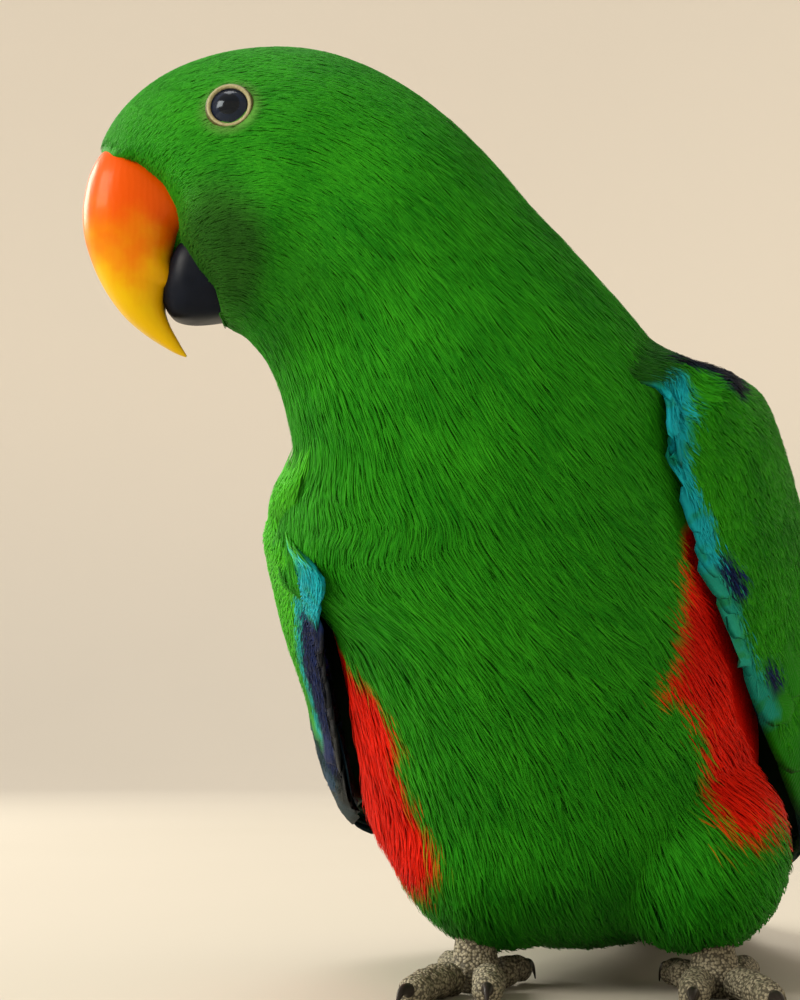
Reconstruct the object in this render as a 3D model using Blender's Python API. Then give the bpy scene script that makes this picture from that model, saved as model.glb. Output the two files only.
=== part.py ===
"""A male eclectus parrot at life size, standing, with its head turned to its right.

Lengths in the tables are millimetres and become metres in add_solid. While it is shaped, x is to
the bird's left, y to its rear and z up, with the floor at z = 0 and the feet near y = 0. ORIGIN is
the middle of the footprint, and it is taken away from every point at the end.
"""

import bpy
import bmesh
import numpy as np

MM = 0.001
GAP = 0.3
ORIGIN = (21.3, 57.4, 0.0)

# The spine runs from inside the bill, over the head and down the trunk, to the end of the tail.
# Each row is the middle of one slice, the three angles that turn it, and its four half widths.
# heading turns the slice about z, lean lifts its bird's-left end, and pitch tips its front down.
# crown and chin lie along the slice's long way (left and right on the trunk), near and far across.
#         x      y      z    heading lean pitch crown  chin  near   far
SPINE = np.array([
    (-47.0, -55.0, 150.0,      0, 128,  0,    12.0, 12.0,  6.0,  6.0),
    (-45.0, -55.0, 146.2,      0, 125,  0,    20.6, 20.6,  9.5,  9.5),
    (-42.4, -55.0, 150.0,      0, 115,  0,    23.3, 23.3, 13.5, 13.5),
    (-37.1, -55.0, 153.2,      0, 103,  0,    25.6, 25.8, 17.5, 17.5),
    (-29.4, -55.0, 154.9,      0,  89,  0,    27.2, 27.6, 20.0, 20.0),
    (-21.0, -55.0, 154.0,      0,  75,  1,    28.2, 28.8, 22.0, 22.0),
    (-12.6, -54.0, 149.8,      1,  61,  3,    28.6, 29.2, 23.5, 23.5),
    ( -5.0, -53.0, 143.2,      3,  48,  6,    28.4, 29.4, 25.0, 24.5),
    (  2.2, -50.0, 134.5,      6,  37, 12,    29.2, 31.0, 27.0, 26.0),
    (  8.8, -46.0, 124.0,     10,  28, 20,    33.0, 34.0, 30.5, 28.5),
    ( 14.4, -39.0, 112.0,     14,  20, 29,    38.6, 37.8, 34.0, 31.0),
    ( 19.5, -28.0,  98.0,     17,  14, 36,    41.6, 40.4, 36.5, 33.0),
    ( 25.0, -14.0,  81.5,     17,  11, 41,    43.5, 42.0, 38.5, 34.0),
    ( 30.5,   1.0,  64.5,     17,   8, 45,    45.0, 44.0, 41.0, 34.0),
    ( 36.5,  18.0,  48.5,     17,   5, 51,    45.0, 46.0, 44.0, 33.0),
    ( 43.0,  39.0,  36.0,     17,   3, 62,    39.5, 41.0, 33.5, 29.0),
    ( 49.5,  60.0,  25.5,     17,   2, 72,    29.0, 29.0, 21.5, 21.5),
    ( 56.0,  82.0,  16.5,     17,   1, 79,    20.0, 20.0, 12.5, 12.5),
    ( 63.0, 107.0,  10.0,     17,   0, 84,    17.0, 17.0,  6.5,  6.5),
    ( 70.5, 133.0,   6.0,     17,   0, 87,    18.5, 18.5,  3.2,  3.0),
    ( 78.5, 160.0,   3.2,     17,   0, 88,    20.5, 20.5,  2.0,  1.8),
    ( 85.0, 183.0,   1.6,     17,   0, 88,    18.5, 18.5,  1.6,  1.1),
    ( 87.2, 190.0,   1.2,     17,   0, 88,     9.0,  9.0,  1.2,  0.8),
])
HEAD_PLANE = -55.0

# Where the spine is parted, by row number.
CUTS = {"head": (0, 6.6), "neck": (6.6, 10.0), "breast": (10.0, 13.2), "belly": (13.2, 16.6),
        "tail_coverts": (16.6, 18.6), "tail": (18.6, 22.0)}
RINGS = {"head": 17, "neck": 8, "breast": 9, "belly": 10, "tail_coverts": 7, "tail": 9}
AROUND = {"head": 28, "neck": 26, "breast": 26, "belly": 26, "tail_coverts": 20, "tail": 16}

# A folded wing lies on a tube round the spine. Each row: spine row, the angles of its lower and
# upper edge above the side of the body, the tube's shift to the rear, its half width, its height
# over and under its middle, the wing's thickness, and how much further out the right wing hangs.
#        row  lower upper shift reach over under thick droop
WING = np.array([
    (10.15,   -32,    8,   -5, 47.5, 15.0, 20.0, 6.0, 0.0),
    (10.50,   -54,   34,   -8, 51.0, 22.0, 35.0, 9.0, 0.0),
    (11.10,   -50,   58,  -12, 54.0, 28.5, 42.0, 9.0, 0.0),
    (11.90,   -44,   74,  -13, 56.0, 32.5, 43.0, 8.0, 0.0),
    (12.90,   -40,   80,  -13, 57.0, 33.5, 41.0, 7.0, 0.0),
    (13.90,   -34,   82,  -11, 58.0, 33.0, 36.0, 6.0, 3.5),
    (14.90,   -26,   83,   -8, 56.0, 31.5, 30.0, 5.0, 8.0),
    (15.90,   -17,   83,   -6, 49.0, 27.5, 24.0, 4.4, 6.5),
    (16.90,    -9,   83,   -5, 39.5, 20.5, 18.0, 3.8, 3.0),
    (17.90,     0,   82,   -5, 30.5, 12.5, 12.0, 3.2, 0.0),
    (18.90,     8,   80,   -4, 23.5,  7.5,  8.0, 2.6, 0.0),
    (19.70,    20,   76,   -4, 18.0,  5.0,  6.0, 2.0, 0.0),
    (20.40,    42,   66,   -3, 12.5,  3.6,  4.0, 1.5, 0.0),
])
# Both wings are carried this far to the bird's left.
WING_SWAY = 2.0
# A wing is thinner towards its upper edge, by this share.
WING_TAPER = 0.6
# Where the body would cut through a wing, the wing is kept this far off it, and its outer sheet is
# lifted further by this share of its thickness.
WING_GAP = 1.2
WING_LIFT = 0.25
# The covert part ends at FLIGHT_ROW. Behind it the primaries lie below a line that rises from
# FLIGHT_SHARE of the way up the wing to its upper edge, and the secondaries lie above that line.
FLIGHT_ROW = 13.5
FLIGHT_SHARE = 0.42
SECONDARY_END = 18.3
WING_END = 20.4

# The bill is cut from the side into slices, each from its outer edge to its inner edge.
#        outer x, z      inner x, z     half width
UPPER_BILL = np.array([
    (-52.0, 163.5,  -35.0, 149.5,  7.2),
    (-55.6, 162.6,  -38.6, 147.3,  8.2),
    (-58.3, 158.5,  -41.0, 145.9,  8.6),
    (-59.6, 153.2,  -42.1, 143.8,  8.5),
    (-59.8, 148.3,  -42.8, 141.1,  8.0),
    (-58.9, 143.4,  -43.0, 137.4,  7.2),
    (-56.3, 137.0,  -43.9, 134.4,  6.1),
    (-52.4, 131.2,  -44.2, 132.0,  4.8),
    (-48.0, 127.2,  -43.2, 128.9,  3.2),
    (-42.9, 123.9,  -41.2, 125.2,  1.4),
    (-40.2, 122.7,  -39.9, 123.0,  0.3),
])
LOWER_BILL = np.array([
    (-32.0, 146.0,  -28.0, 131.2,  6.6),
    (-36.6, 145.0,  -32.5, 130.0,  7.4),
    (-39.4, 143.6,  -36.4, 129.4,  7.3),
    (-41.6, 141.4,  -39.6, 129.3,  6.6),
    (-43.6, 137.4,  -42.2, 129.9,  4.8),
    (-45.0, 134.0,  -43.7, 131.4,  2.2),
])

EYE_MIDDLE = (-30.4, 164.5)
EYE_OUT = 14.5
EYE_RADIUS = 5.1
EYE_TURN = (-0.10, 0.10)
LID_OUT = 4.25
LID_RADIUS = 4.1
LID_THICK = 0.45
SOCKET_RADIUS = 6.4

FOOT_AT = {"right": (15.7, 3.0), "left": (64.7, -5.0)}
FOOT_HEADING = {"right": 12.0, "left": 4.0}
THIGH_LIFT = 29.5
THIGH_BACK = 6.0
THIGH_IN = 3.0
THIGH_HALF = (20.0, 25.0, 21.5)
SHANK_TOP = 22.0
PAD_RADIUS = 5.3
#           side  ahead  turn  length  thick
TOES = {
    "inner_front": ( 3.9,  5.0,   -8.0, 20.0, 3.5),
    "outer_front": (-3.9,  5.0,   10.0, 25.0, 3.6),
    "inner_hind":  ( 4.6, -4.6, -163.0, 12.0, 3.2),
    "outer_hind":  (-4.6, -4.6,  165.0, 19.0, 3.4),
}
# The middle of a toe is TOE_RISE above the floor at its ends and TOE_ARCH higher half way along.
TOE_RISE = 2.7
TOE_ARCH = 0.9
TOE_TAPER = 0.22
PAD_LENGTH = 7.0
PAD_SWELL = 0.07
# A claw turns down through CLAW_BEND radians, and its tip is CLAW_DROP below its root.
CLAW_LENGTH = 8.5
CLAW_THICK = 1.55
CLAW_TAPER = 0.9
CLAW_BEND = 1.25
CLAW_RISE = 0.7
CLAW_ARCH = 0.9
CLAW_DROP = 3.1
CLAW_NARROW = 0.85


def along(rows, at):
    """Smooth rows between numbered rows: a Catmull-Rom curve through every column."""
    last = len(rows) - 1
    at = np.clip(np.asarray(at, float), 0.0, last - 1e-9)
    low = np.floor(at).astype(int)
    part = (at - low)[..., None]
    before, here, there, after = (rows[np.clip(low + k, 0, last)] for k in (-1, 0, 1, 2))
    return 0.5 * (2 * here + (there - before) * part
                  + (2 * before - 5 * here + 4 * there - after) * part ** 2
                  + (3 * here - before - 3 * there + after) * part ** 3)


def slice_frame(row):
    """The middle of a slice, its way to the bird's left or crown, and its way to the front."""
    heading, lean, pitch = (np.radians(row[..., k]) for k in (3, 4, 5))
    ahead = np.stack([-np.sin(heading), -np.cos(heading), 0 * heading], -1)
    side = np.stack([np.cos(heading) * np.cos(lean), -np.sin(heading) * np.cos(lean), np.sin(lean)], -1)
    rise = np.cross(ahead, side)
    front = np.cos(pitch)[..., None] * ahead - np.sin(pitch)[..., None] * rise
    return row[..., :3], side, front


def spine_point(at, angle):
    """A point of the body: the slice's middle plus its half widths times cosine and sine."""
    row = along(SPINE, at)
    middle, side, front = slice_frame(row)
    across = np.where(np.cos(angle) > 0, row[..., 6], row[..., 7]) * np.cos(angle)
    deep = np.where(np.sin(angle) > 0, row[..., 8], row[..., 9]) * np.sin(angle)
    return middle + across[..., None] * side + deep[..., None] * front


def wing_point(at, share, depth, hand):
    """A point of a folded wing: on the wing's tube, at a share of the way from its lower to its
    upper edge, and sunk by a share of its thickness, but never into the body.
    """
    row = along(SPINE, at)
    middle, side, front = slice_frame(row)
    low, high, shift, reach, over, under, thick, droop = (
        np.interp(at, WING[:, 0], WING[:, k]) for k in range(1, 9))
    angle = np.radians(low + (high - low) * share)
    sunk = depth * thick * (1.0 - WING_TAPER * share)
    reach = reach + np.where(hand < 0, droop, 0.0)
    across = (reach - sunk) * np.cos(angle) + hand * WING_SWAY
    deep = shift - np.where(angle > 0, over - sunk, under - sunk) * np.sin(angle)
    half = np.where(hand > 0, row[..., 6], row[..., 7]) + WING_GAP
    body = np.hypot(across / half, deep / (np.where(deep > 0, row[..., 8], row[..., 9]) + WING_GAP))
    push = 1.0 / np.minimum(body, 1.0)
    lift = WING_LIFT * thick * (1 - depth)
    grow = push + np.where(push > 1.0, lift / half, 0.0)
    return middle + (hand * across * grow)[..., None] * side + (deep * grow)[..., None] * front


def ring_loft(rings):
    """Vertices and faces of a closed tube: rings joined by quads, with a fan at each end."""
    count, around, _ = rings.shape
    ring = np.arange(count - 1)[:, None] * around
    step = np.arange(around)[None, :]
    turn = (step + 1) % around
    sides = np.stack([ring + step, ring + around + step, ring + around + turn, ring + turn], -1)
    verts = np.concatenate([rings.reshape(-1, 3), rings[:1].mean(1), rings[-1:].mean(1)])
    first, last = count * around, count * around + 1
    step, turn = step[0], turn[0]
    start = [(first, a, b) for a, b in zip(step, turn)]
    end = [(last, b, a) for a, b in zip(step + (count - 1) * around, turn + (count - 1) * around)]
    return verts, [tuple(face) for face in sides.reshape(-1, 4)] + start + end


def new_material(name, colour, roughness):
    """A Principled material of one colour."""
    material = bpy.data.materials.new(name)
    material.use_nodes = True
    shader = material.node_tree.nodes["Principled BSDF"]
    shader.inputs["Base Color"].default_value = (*colour, 1.0)
    shader.inputs["Roughness"].default_value = roughness
    return material


def add_solid(name, verts, faces, material, grow=0.0):
    """One closed object in metres, about ORIGIN, with its faces turned outwards.

    grow moves every vertex out along its normal, for a cutter that leaves a gap.
    """
    mesh = bpy.data.meshes.new(name)
    mesh.from_pydata([tuple(v) for v in (np.asarray(verts) - ORIGIN) * MM], [], faces)
    work = bmesh.new()
    work.from_mesh(mesh)
    bmesh.ops.triangulate(work, faces=work.faces[:])
    bmesh.ops.recalc_face_normals(work, faces=work.faces[:])
    work.normal_update()
    for vert in work.verts:
        vert.co += vert.normal * grow * MM
    work.to_mesh(mesh)
    work.free()
    mesh.shade_smooth()
    mesh.materials.append(material)
    solid = bpy.data.objects.new(name, mesh)
    bpy.context.scene.collection.objects.link(solid)
    return solid


def carve(solid, name, verts, faces):
    """Cut a grown copy of a neighbour out of a solid, so that a thin gap parts them."""
    cutter = add_solid(name, verts, faces, solid.data.materials[0], grow=1.5 * GAP)
    cutter.hide_render = True
    cutter.display_type = "WIRE"
    cutter.hide_set(True)
    cut = solid.modifiers.new(name, "BOOLEAN")
    cut.operation = "DIFFERENCE"
    cut.solver = "EXACT"
    cut.object = cutter


def body_piece(name):
    """One length of the spine's tube. It starts a gap beyond the piece before it."""
    start, end = CUTS[name]
    at = np.linspace(start, end, RINGS[name])[:, None]
    angle = np.linspace(0.0, 2 * np.pi, AROUND[name], endpoint=False)[None, :]
    rings = spine_point(*np.broadcast_arrays(at, angle))
    if start > 0:
        _, side, front = slice_frame(along(SPINE, start))
        rings[0] += GAP * np.cross(side, front)
    rings[..., 2] = np.maximum(rings[..., 2], 0.0)
    return ring_loft(rings)


def flight_line(at):
    """The share of the way up the wing where the primaries meet the secondaries."""
    part = np.clip((at - FLIGHT_ROW) / (SECONDARY_END - FLIGHT_ROW), 0.0, 1.0)
    return FLIGHT_SHARE + (1.0 - FLIGHT_SHARE) * part ** 1.5


def wing_piece(hand, part):
    """One part of a folded wing: an outer and an inner sheet, joined at their edges."""
    start, end, count, steps = {"coverts": (WING[0, 0], FLIGHT_ROW, 10, 9),
                                "primaries": (FLIGHT_ROW + 0.03, WING_END, 13, 6),
                                "secondaries": (FLIGHT_ROW + 0.03, SECONDARY_END - 0.35, 8, 5)}[part]
    at = np.linspace(start, end, count)[:, None]
    low = flight_line(at) + 0.012 if part == "secondaries" else 0.0 * at
    high = flight_line(at) if part == "primaries" else 1.0 + 0.0 * at
    share = low + (high - low) * np.linspace(0.0, 1.0, steps)[None, :]
    outer = wing_point(at, share, 0.0, hand)
    inner = wing_point(at, share, 1.0, hand)[:, ::-1]
    return ring_loft(np.concatenate([outer, inner], 1))


def bill_piece(rows):
    """One half of the bill: slices between an outer and an inner edge, swollen to a half width."""
    at = np.linspace(0, len(rows) - 1, 2 * len(rows) - 1)
    outer_x, outer_z, inner_x, inner_z, half = along(rows, at).T[..., None]
    angle = np.linspace(0.0, 2 * np.pi, 12, endpoint=False)[None, :]
    mix = 0.5 + 0.5 * np.cos(angle)
    x = inner_x + (outer_x - inner_x) * mix
    z = inner_z + (outer_z - inner_z) * mix
    bulge = np.sign(np.sin(angle)) * np.abs(np.sin(angle)) ** 0.8
    return ring_loft(np.stack([x, HEAD_PLANE + half * bulge, z], -1))


def ball(middle, half, around, rings):
    """An ellipsoid of given half widths, turned round z."""
    lift = np.linspace(-np.pi / 2, np.pi / 2, rings + 2)[1:-1, None]
    angle = np.linspace(0.0, 2 * np.pi, around, endpoint=False)[None, :]
    lift, angle = np.broadcast_arrays(lift, angle)
    unit = np.stack([np.cos(lift) * np.cos(angle), np.cos(lift) * np.sin(angle), np.sin(lift)], -1)
    verts, faces = ring_loft(np.asarray(middle) + unit * half)
    verts[-2:] = np.asarray(middle) + np.array([(0, 0, -half[2]), (0, 0, half[2])])
    return verts, faces


def eye_frame(hand):
    """The middle of one eyeball and the way it looks: sideways, a little forward and up."""
    middle = np.array([EYE_MIDDLE[0], HEAD_PLANE - hand * EYE_OUT, EYE_MIDDLE[1]])
    look = np.array([EYE_TURN[0], -hand, EYE_TURN[1]])
    return middle, look / np.linalg.norm(look)


def lid_ring(hand):
    """The ring of the eyelids: a circle round the look of the eye, carried by a small circle."""
    middle, look = eye_frame(hand)
    up = np.cross(look, (1.0, 0.0, 0.0))
    up /= np.linalg.norm(up)
    fore = np.cross(up, look)
    turn = np.linspace(0.0, 2 * np.pi, 16, endpoint=False)[:, None]
    angle = np.linspace(0.0, 2 * np.pi, 5, endpoint=False)[None, :]
    out = LID_RADIUS + LID_THICK * np.cos(angle)
    verts = (middle + (out * np.cos(turn))[..., None] * fore + (out * np.sin(turn))[..., None] * up
             + (LID_OUT + LID_THICK * np.sin(angle) + 0 * turn)[..., None] * look)
    count, around = verts.shape[:2]
    ring = np.arange(count)[:, None] * around
    after = (np.arange(count)[:, None] + 1) % count * around
    step = np.arange(around)[None, :]
    next_step = (step + 1) % around
    faces = np.stack([ring + step, after + step, after + next_step, ring + next_step], -1)
    return verts.reshape(-1, 3), [tuple(face) for face in faces.reshape(-1, 4)]


def foot_frame(hand):
    """The middle of a foot on the floor, the way it points and the way to the bird's left."""
    name = "left" if hand > 0 else "right"
    heading = np.radians(FOOT_HEADING[name])
    ahead = np.array([-np.sin(heading), -np.cos(heading), 0.0])
    left = np.array([np.cos(heading), -np.sin(heading), 0.0])
    return np.array([*FOOT_AT[name], 0.0]), ahead, left


def shank(hand):
    """The shank on its pad: rings that narrow from the flat pad up into the thigh."""
    foot, ahead, _ = foot_frame(hand)
    height = SHANK_TOP * np.array([0.0, 0.05, 0.15, 0.25, 0.37, 0.55, 0.77, 1.0])[:, None]
    half = PAD_RADIUS * np.array([0.72, 0.92, 1.0, 0.96, 0.86, 0.76, 0.74, 0.74])[:, None]
    angle = np.linspace(0.0, 2 * np.pi, 12, endpoint=False)[None, :]
    ring = np.stack([half * np.cos(angle), half * np.sin(angle), height + 0 * angle], -1)
    back = np.maximum(height - 5.0, 0.0)[..., None] * 0.15
    return ring_loft(foot + ring - back * ahead)


def toe_axis(hand, toe):
    """Where a toe starts, the way it runs and the way across it. The inner side is the bird's middle."""
    side, forward, turn, length, thick = TOES[toe]
    foot, ahead, left = foot_frame(hand)
    outward = left * hand
    start = foot - outward * side + ahead * forward
    turn = np.radians(turn)
    run = ahead * np.cos(turn) + outward * np.sin(turn)
    return start, run, np.cross(run, (0.0, 0.0, 1.0)), length, thick


def toe_piece(hand, toe):
    """A toe: round rings on a straight line, swollen into pads, and flat where they meet the floor."""
    start, run, across, length, thick = toe_axis(hand, toe)
    share = np.linspace(0.0, 1.0, 9)[:, None]
    angle = np.linspace(0.0, 2 * np.pi, 8, endpoint=False)[None, :] + 0.3
    pads = round(length / PAD_LENGTH)
    swell = 1.0 - PAD_SWELL * np.cos(2 * np.pi * pads * share)
    half = thick * (1.0 - TOE_TAPER * share) * swell
    lift = TOE_RISE + TOE_ARCH * np.sin(np.pi * share)
    ring = (start + (length * share)[..., None] * run + (half * np.cos(angle))[..., None] * across)
    ring[..., 2] += lift + half * np.sin(angle)
    ring[..., 2] = np.maximum(ring[..., 2], 0.0)
    return ring_loft(ring)


def claw_piece(hand, toe):
    """A claw: a cone that leaves the toe's end, arches forward and comes down to a point."""
    start, run, across, length, _ = toe_axis(hand, toe)
    share = np.linspace(0.0, 1.0, 5)[:, None]
    angle = np.linspace(0.0, 2 * np.pi, 5, endpoint=False)[None, :]
    bend = CLAW_BEND * share
    forward = CLAW_LENGTH * np.sin(bend) / CLAW_BEND
    lift = TOE_RISE + CLAW_RISE + CLAW_ARCH * np.sin(np.pi * share) - CLAW_DROP * share ** 2.2
    half = CLAW_THICK * (1.0 - CLAW_TAPER * share)
    out = length + GAP + forward + half * np.sin(angle) * np.sin(share)
    ring = start + out[..., None] * run + (CLAW_NARROW * half * np.cos(angle))[..., None] * across
    ring[..., 2] += lift + half * np.sin(angle) * np.cos(share)
    ring[..., 2] = np.maximum(ring[..., 2], 0.0)
    return ring_loft(ring)


def thigh_piece(hand):
    """The feathered thigh: an ellipsoid over its foot."""
    foot, ahead, left = foot_frame(hand)
    middle = foot - ahead * THIGH_BACK - left * hand * THIGH_IN
    return ball(middle + (0.0, 0.0, THIGH_LIFT), THIGH_HALF, 14, 7)


def build_parrot():
    green = new_material("green plumage", (0.03, 0.24, 0.02), 0.75)
    bright = new_material("covert plumage", (0.04, 0.27, 0.02), 0.7)
    navy = new_material("flight feathers", (0.01, 0.03, 0.12), 0.6)
    red = new_material("flank plumage", (0.45, 0.01, 0.01), 0.75)
    tail_green = new_material("tail feathers", (0.02, 0.12, 0.03), 0.65)
    coral = new_material("upper bill horn", (0.85, 0.22, 0.03), 0.35)
    black = new_material("lower bill horn", (0.012, 0.014, 0.02), 0.35)
    grey = new_material("scaled skin", (0.25, 0.22, 0.18), 0.8)
    horn = new_material("claw horn", (0.02, 0.02, 0.02), 0.45)
    iris = new_material("eye", (0.006, 0.005, 0.005), 0.1)
    lid = new_material("eyelid skin", (0.45, 0.36, 0.2), 0.6)
    bill = {"bill_upper": (bill_piece(UPPER_BILL), coral), "bill_lower": (bill_piece(LOWER_BILL), black)}
    hands = {"left": 1, "right": -1}
    shanks = {name: shank(hand) for name, hand in hands.items()}
    thighs = {name: thigh_piece(hand) for name, hand in hands.items()}
    colours = {"head": green, "neck": green, "breast": green, "belly": green,
               "tail_coverts": green, "tail": tail_green}
    body = {name: add_solid(name, *body_piece(name), colours[name]) for name in CUTS}
    for name, (shape, material) in bill.items():
        piece = add_solid(name, *shape, material)
        carve(body["head"], "cut_" + name, *shape)
        if name == "bill_lower":
            carve(piece, "cut_under_upper", *bill["bill_upper"][0])
    for name, hand in hands.items():
        eye_middle, _ = eye_frame(hand)
        add_solid("eye_" + name, *ball(eye_middle, (EYE_RADIUS,) * 3, 12, 6), iris)
        add_solid("eyelid_" + name, *lid_ring(hand), lid)
        carve(body["head"], "cut_eye_" + name, *ball(eye_middle, (SOCKET_RADIUS,) * 3, 14, 7))
        thigh = add_solid("thigh_" + name, *thighs[name], red)
        carve(thigh, "cut_shank_" + name, *shanks[name])
        for part in ("breast", "belly"):
            carve(body[part], "cut_thigh_" + name, *thighs[name])
        add_solid("shank_" + name, *shanks[name], grey)
        for part, material in (("coverts", bright), ("secondaries", bright), ("primaries", navy)):
            add_solid("wing_" + name + "_" + part, *wing_piece(hand, part), material)
        for toe in TOES:
            add_solid("toe_" + name + "_" + toe, *toe_piece(hand, toe), grey)
            add_solid("claw_" + name + "_" + toe, *claw_piece(hand, toe), horn)


for old in list(bpy.data.objects):
    bpy.data.objects.remove(old, do_unlink=True)
build_parrot()
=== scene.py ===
"""A male eclectus parrot at life size, standing, with its head turned to its right.

Shapes are worked out in millimetres, with x to the bird's left, y to its rear and z up, the floor
at z = 0 and the feet near y = 0. ORIGIN is taken away and MM applied when a mesh is made.
"""

import bpy
import numpy as np
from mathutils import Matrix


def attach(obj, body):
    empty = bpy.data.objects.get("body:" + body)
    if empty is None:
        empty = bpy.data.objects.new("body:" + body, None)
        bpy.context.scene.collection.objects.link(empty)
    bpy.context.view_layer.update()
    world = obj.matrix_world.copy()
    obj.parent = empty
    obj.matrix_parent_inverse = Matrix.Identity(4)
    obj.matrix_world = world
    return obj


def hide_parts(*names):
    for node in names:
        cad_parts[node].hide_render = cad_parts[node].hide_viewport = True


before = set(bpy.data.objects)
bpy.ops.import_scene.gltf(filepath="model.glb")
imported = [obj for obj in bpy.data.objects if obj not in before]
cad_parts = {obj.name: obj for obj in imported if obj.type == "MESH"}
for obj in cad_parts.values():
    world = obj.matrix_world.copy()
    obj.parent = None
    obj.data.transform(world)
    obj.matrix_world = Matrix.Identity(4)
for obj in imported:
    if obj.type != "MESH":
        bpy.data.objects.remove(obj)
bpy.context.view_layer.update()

MM = 0.001
ORIGIN = np.array([21.3, 57.4, 0.0])
TURN = 2 * np.pi

# The spine: middle of each slice, heading, lean and pitch in degrees, and its four half widths.
SPINE = np.array([
    (-47.0, -55.0, 150.0,      0, 128,  0,    12.0, 12.0,  6.0,  6.0),
    (-45.0, -55.0, 146.2,      0, 125,  0,    20.6, 20.6,  9.5,  9.5),
    (-42.4, -55.0, 150.0,      0, 115,  0,    23.3, 23.3, 13.5, 13.5),
    (-37.1, -55.0, 153.2,      0, 103,  0,    25.6, 25.8, 17.5, 17.5),
    (-29.4, -55.0, 154.9,      0,  89,  0,    27.2, 27.6, 20.0, 20.0),
    (-21.0, -55.0, 154.0,      0,  75,  1,    28.2, 28.8, 22.0, 22.0),
    (-12.6, -54.0, 149.8,      1,  61,  3,    28.6, 29.2, 23.5, 23.5),
    ( -5.0, -53.0, 143.2,      3,  48,  6,    28.4, 29.4, 25.0, 24.5),
    (  2.2, -50.0, 134.5,      6,  37, 12,    29.2, 31.0, 27.0, 26.0),
    (  8.8, -46.0, 124.0,     10,  28, 20,    33.0, 34.0, 30.5, 28.5),
    ( 14.4, -39.0, 112.0,     14,  20, 29,    38.6, 37.8, 34.0, 31.0),
    ( 19.5, -28.0,  98.0,     17,  14, 36,    41.6, 40.4, 36.5, 33.0),
    ( 25.0, -14.0,  81.5,     17,  11, 41,    43.5, 42.0, 38.5, 34.0),
    ( 30.5,   1.0,  64.5,     17,   8, 45,    45.0, 44.0, 41.0, 34.0),
    ( 36.5,  18.0,  48.5,     17,   5, 51,    45.0, 46.0, 44.0, 33.0),
    ( 43.0,  39.0,  36.0,     17,   3, 62,    39.5, 41.0, 33.5, 29.0),
    ( 49.5,  60.0,  25.5,     17,   2, 72,    29.0, 29.0, 21.5, 21.5),
    ( 56.0,  82.0,  16.5,     17,   1, 79,    20.0, 20.0, 12.5, 12.5),
    ( 63.0, 107.0,  10.0,     17,   0, 84,    17.0, 17.0,  6.5,  6.5),
    ( 70.5, 133.0,   6.0,     17,   0, 87,    18.5, 18.5,  3.2,  3.0),
    ( 78.5, 160.0,   3.2,     17,   0, 88,    20.5, 20.5,  2.0,  1.8),
    ( 85.0, 183.0,   1.6,     17,   0, 88,    18.5, 18.5,  1.6,  1.1),
    ( 87.2, 190.0,   1.2,     17,   0, 88,     9.0,  9.0,  1.2,  0.8),
])
# The head's middle plane, in y; and in the side view the middle of the painted shade under the chin,
# in x and z, the two radii over which it fades in, and how much taller than wide it is.
HEAD_PLANE = -55.0
CHIN = (-34.0, 139.0)
CHIN_RING = (13.0, 4.0)
CHIN_TALL = 1.25

# Each row: spine row, lower and upper angle, shift, reach, height over and under, thickness, droop.
WING = np.array([
    (10.15,   -32,    8,   -5, 47.5, 15.0, 20.0, 6.0, 0.0),
    (10.50,   -54,   34,   -8, 51.0, 22.0, 35.0, 9.0, 0.0),
    (11.10,   -50,   58,  -12, 54.0, 28.5, 42.0, 9.0, 0.0),
    (11.90,   -44,   74,  -13, 56.0, 32.5, 43.0, 8.0, 0.0),
    (12.90,   -40,   80,  -13, 57.0, 33.5, 41.0, 7.0, 0.0),
    (13.90,   -34,   82,  -11, 58.0, 33.0, 36.0, 6.0, 3.5),
    (14.90,   -26,   83,   -8, 56.0, 31.5, 30.0, 5.0, 8.0),
    (15.90,   -17,   83,   -6, 49.0, 27.5, 24.0, 4.4, 6.5),
    (16.90,    -9,   83,   -5, 39.5, 20.5, 18.0, 3.8, 3.0),
    (17.90,     0,   82,   -5, 30.5, 12.5, 12.0, 3.2, 0.0),
    (18.90,     8,   80,   -4, 23.5,  7.5,  8.0, 2.6, 0.0),
    (19.70,    20,   76,   -4, 18.0,  5.0,  6.0, 2.0, 0.0),
    (20.40,    42,   66,   -3, 12.5,  3.6,  4.0, 1.5, 0.0),
])
WING_SWAY = 2.0
WING_TAPER = 0.6
WING_GAP = 1.2
WING_LIFT = 0.25
# The right wing hangs by this much of the droop.
RIGHT_DROOP = 0.65

# The bill's slices: outer edge x and z, inner edge x and z, half width.
UPPER_BILL = np.array([
    (-52.0, 163.5,  -35.0, 149.5,  7.2),
    (-55.6, 162.6,  -38.6, 147.3,  8.2),
    (-58.3, 158.5,  -41.0, 145.9,  8.6),
    (-59.6, 153.2,  -42.1, 143.8,  8.5),
    (-59.8, 148.3,  -42.8, 141.1,  8.0),
    (-58.9, 143.4,  -43.0, 137.4,  7.2),
    (-56.3, 137.0,  -43.9, 134.4,  6.1),
    (-52.4, 131.2,  -44.2, 132.0,  4.8),
    (-48.0, 127.2,  -43.2, 128.9,  3.2),
    (-42.9, 123.9,  -41.2, 125.2,  1.4),
    (-40.2, 122.7,  -39.9, 123.0,  0.3),
])
LOWER_BILL = np.array([
    (-32.0, 147.0,  -28.0, 131.2,  6.6),
    (-36.8, 146.4,  -32.5, 130.0,  7.4),
    (-39.8, 145.4,  -36.4, 129.4,  7.3),
    (-42.0, 143.0,  -39.6, 129.3,  6.6),
    (-43.8, 138.6,  -42.2, 129.9,  4.8),
    (-45.0, 134.6,  -43.7, 131.4,  2.2),
])
NOTCH_RISE = 0.9

EYE_MIDDLE = (-30.4, 164.5)
EYE_OUT = 14.5
EYE_RADIUS = 5.1
EYE_TURN = (-0.10, 0.10)
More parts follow.
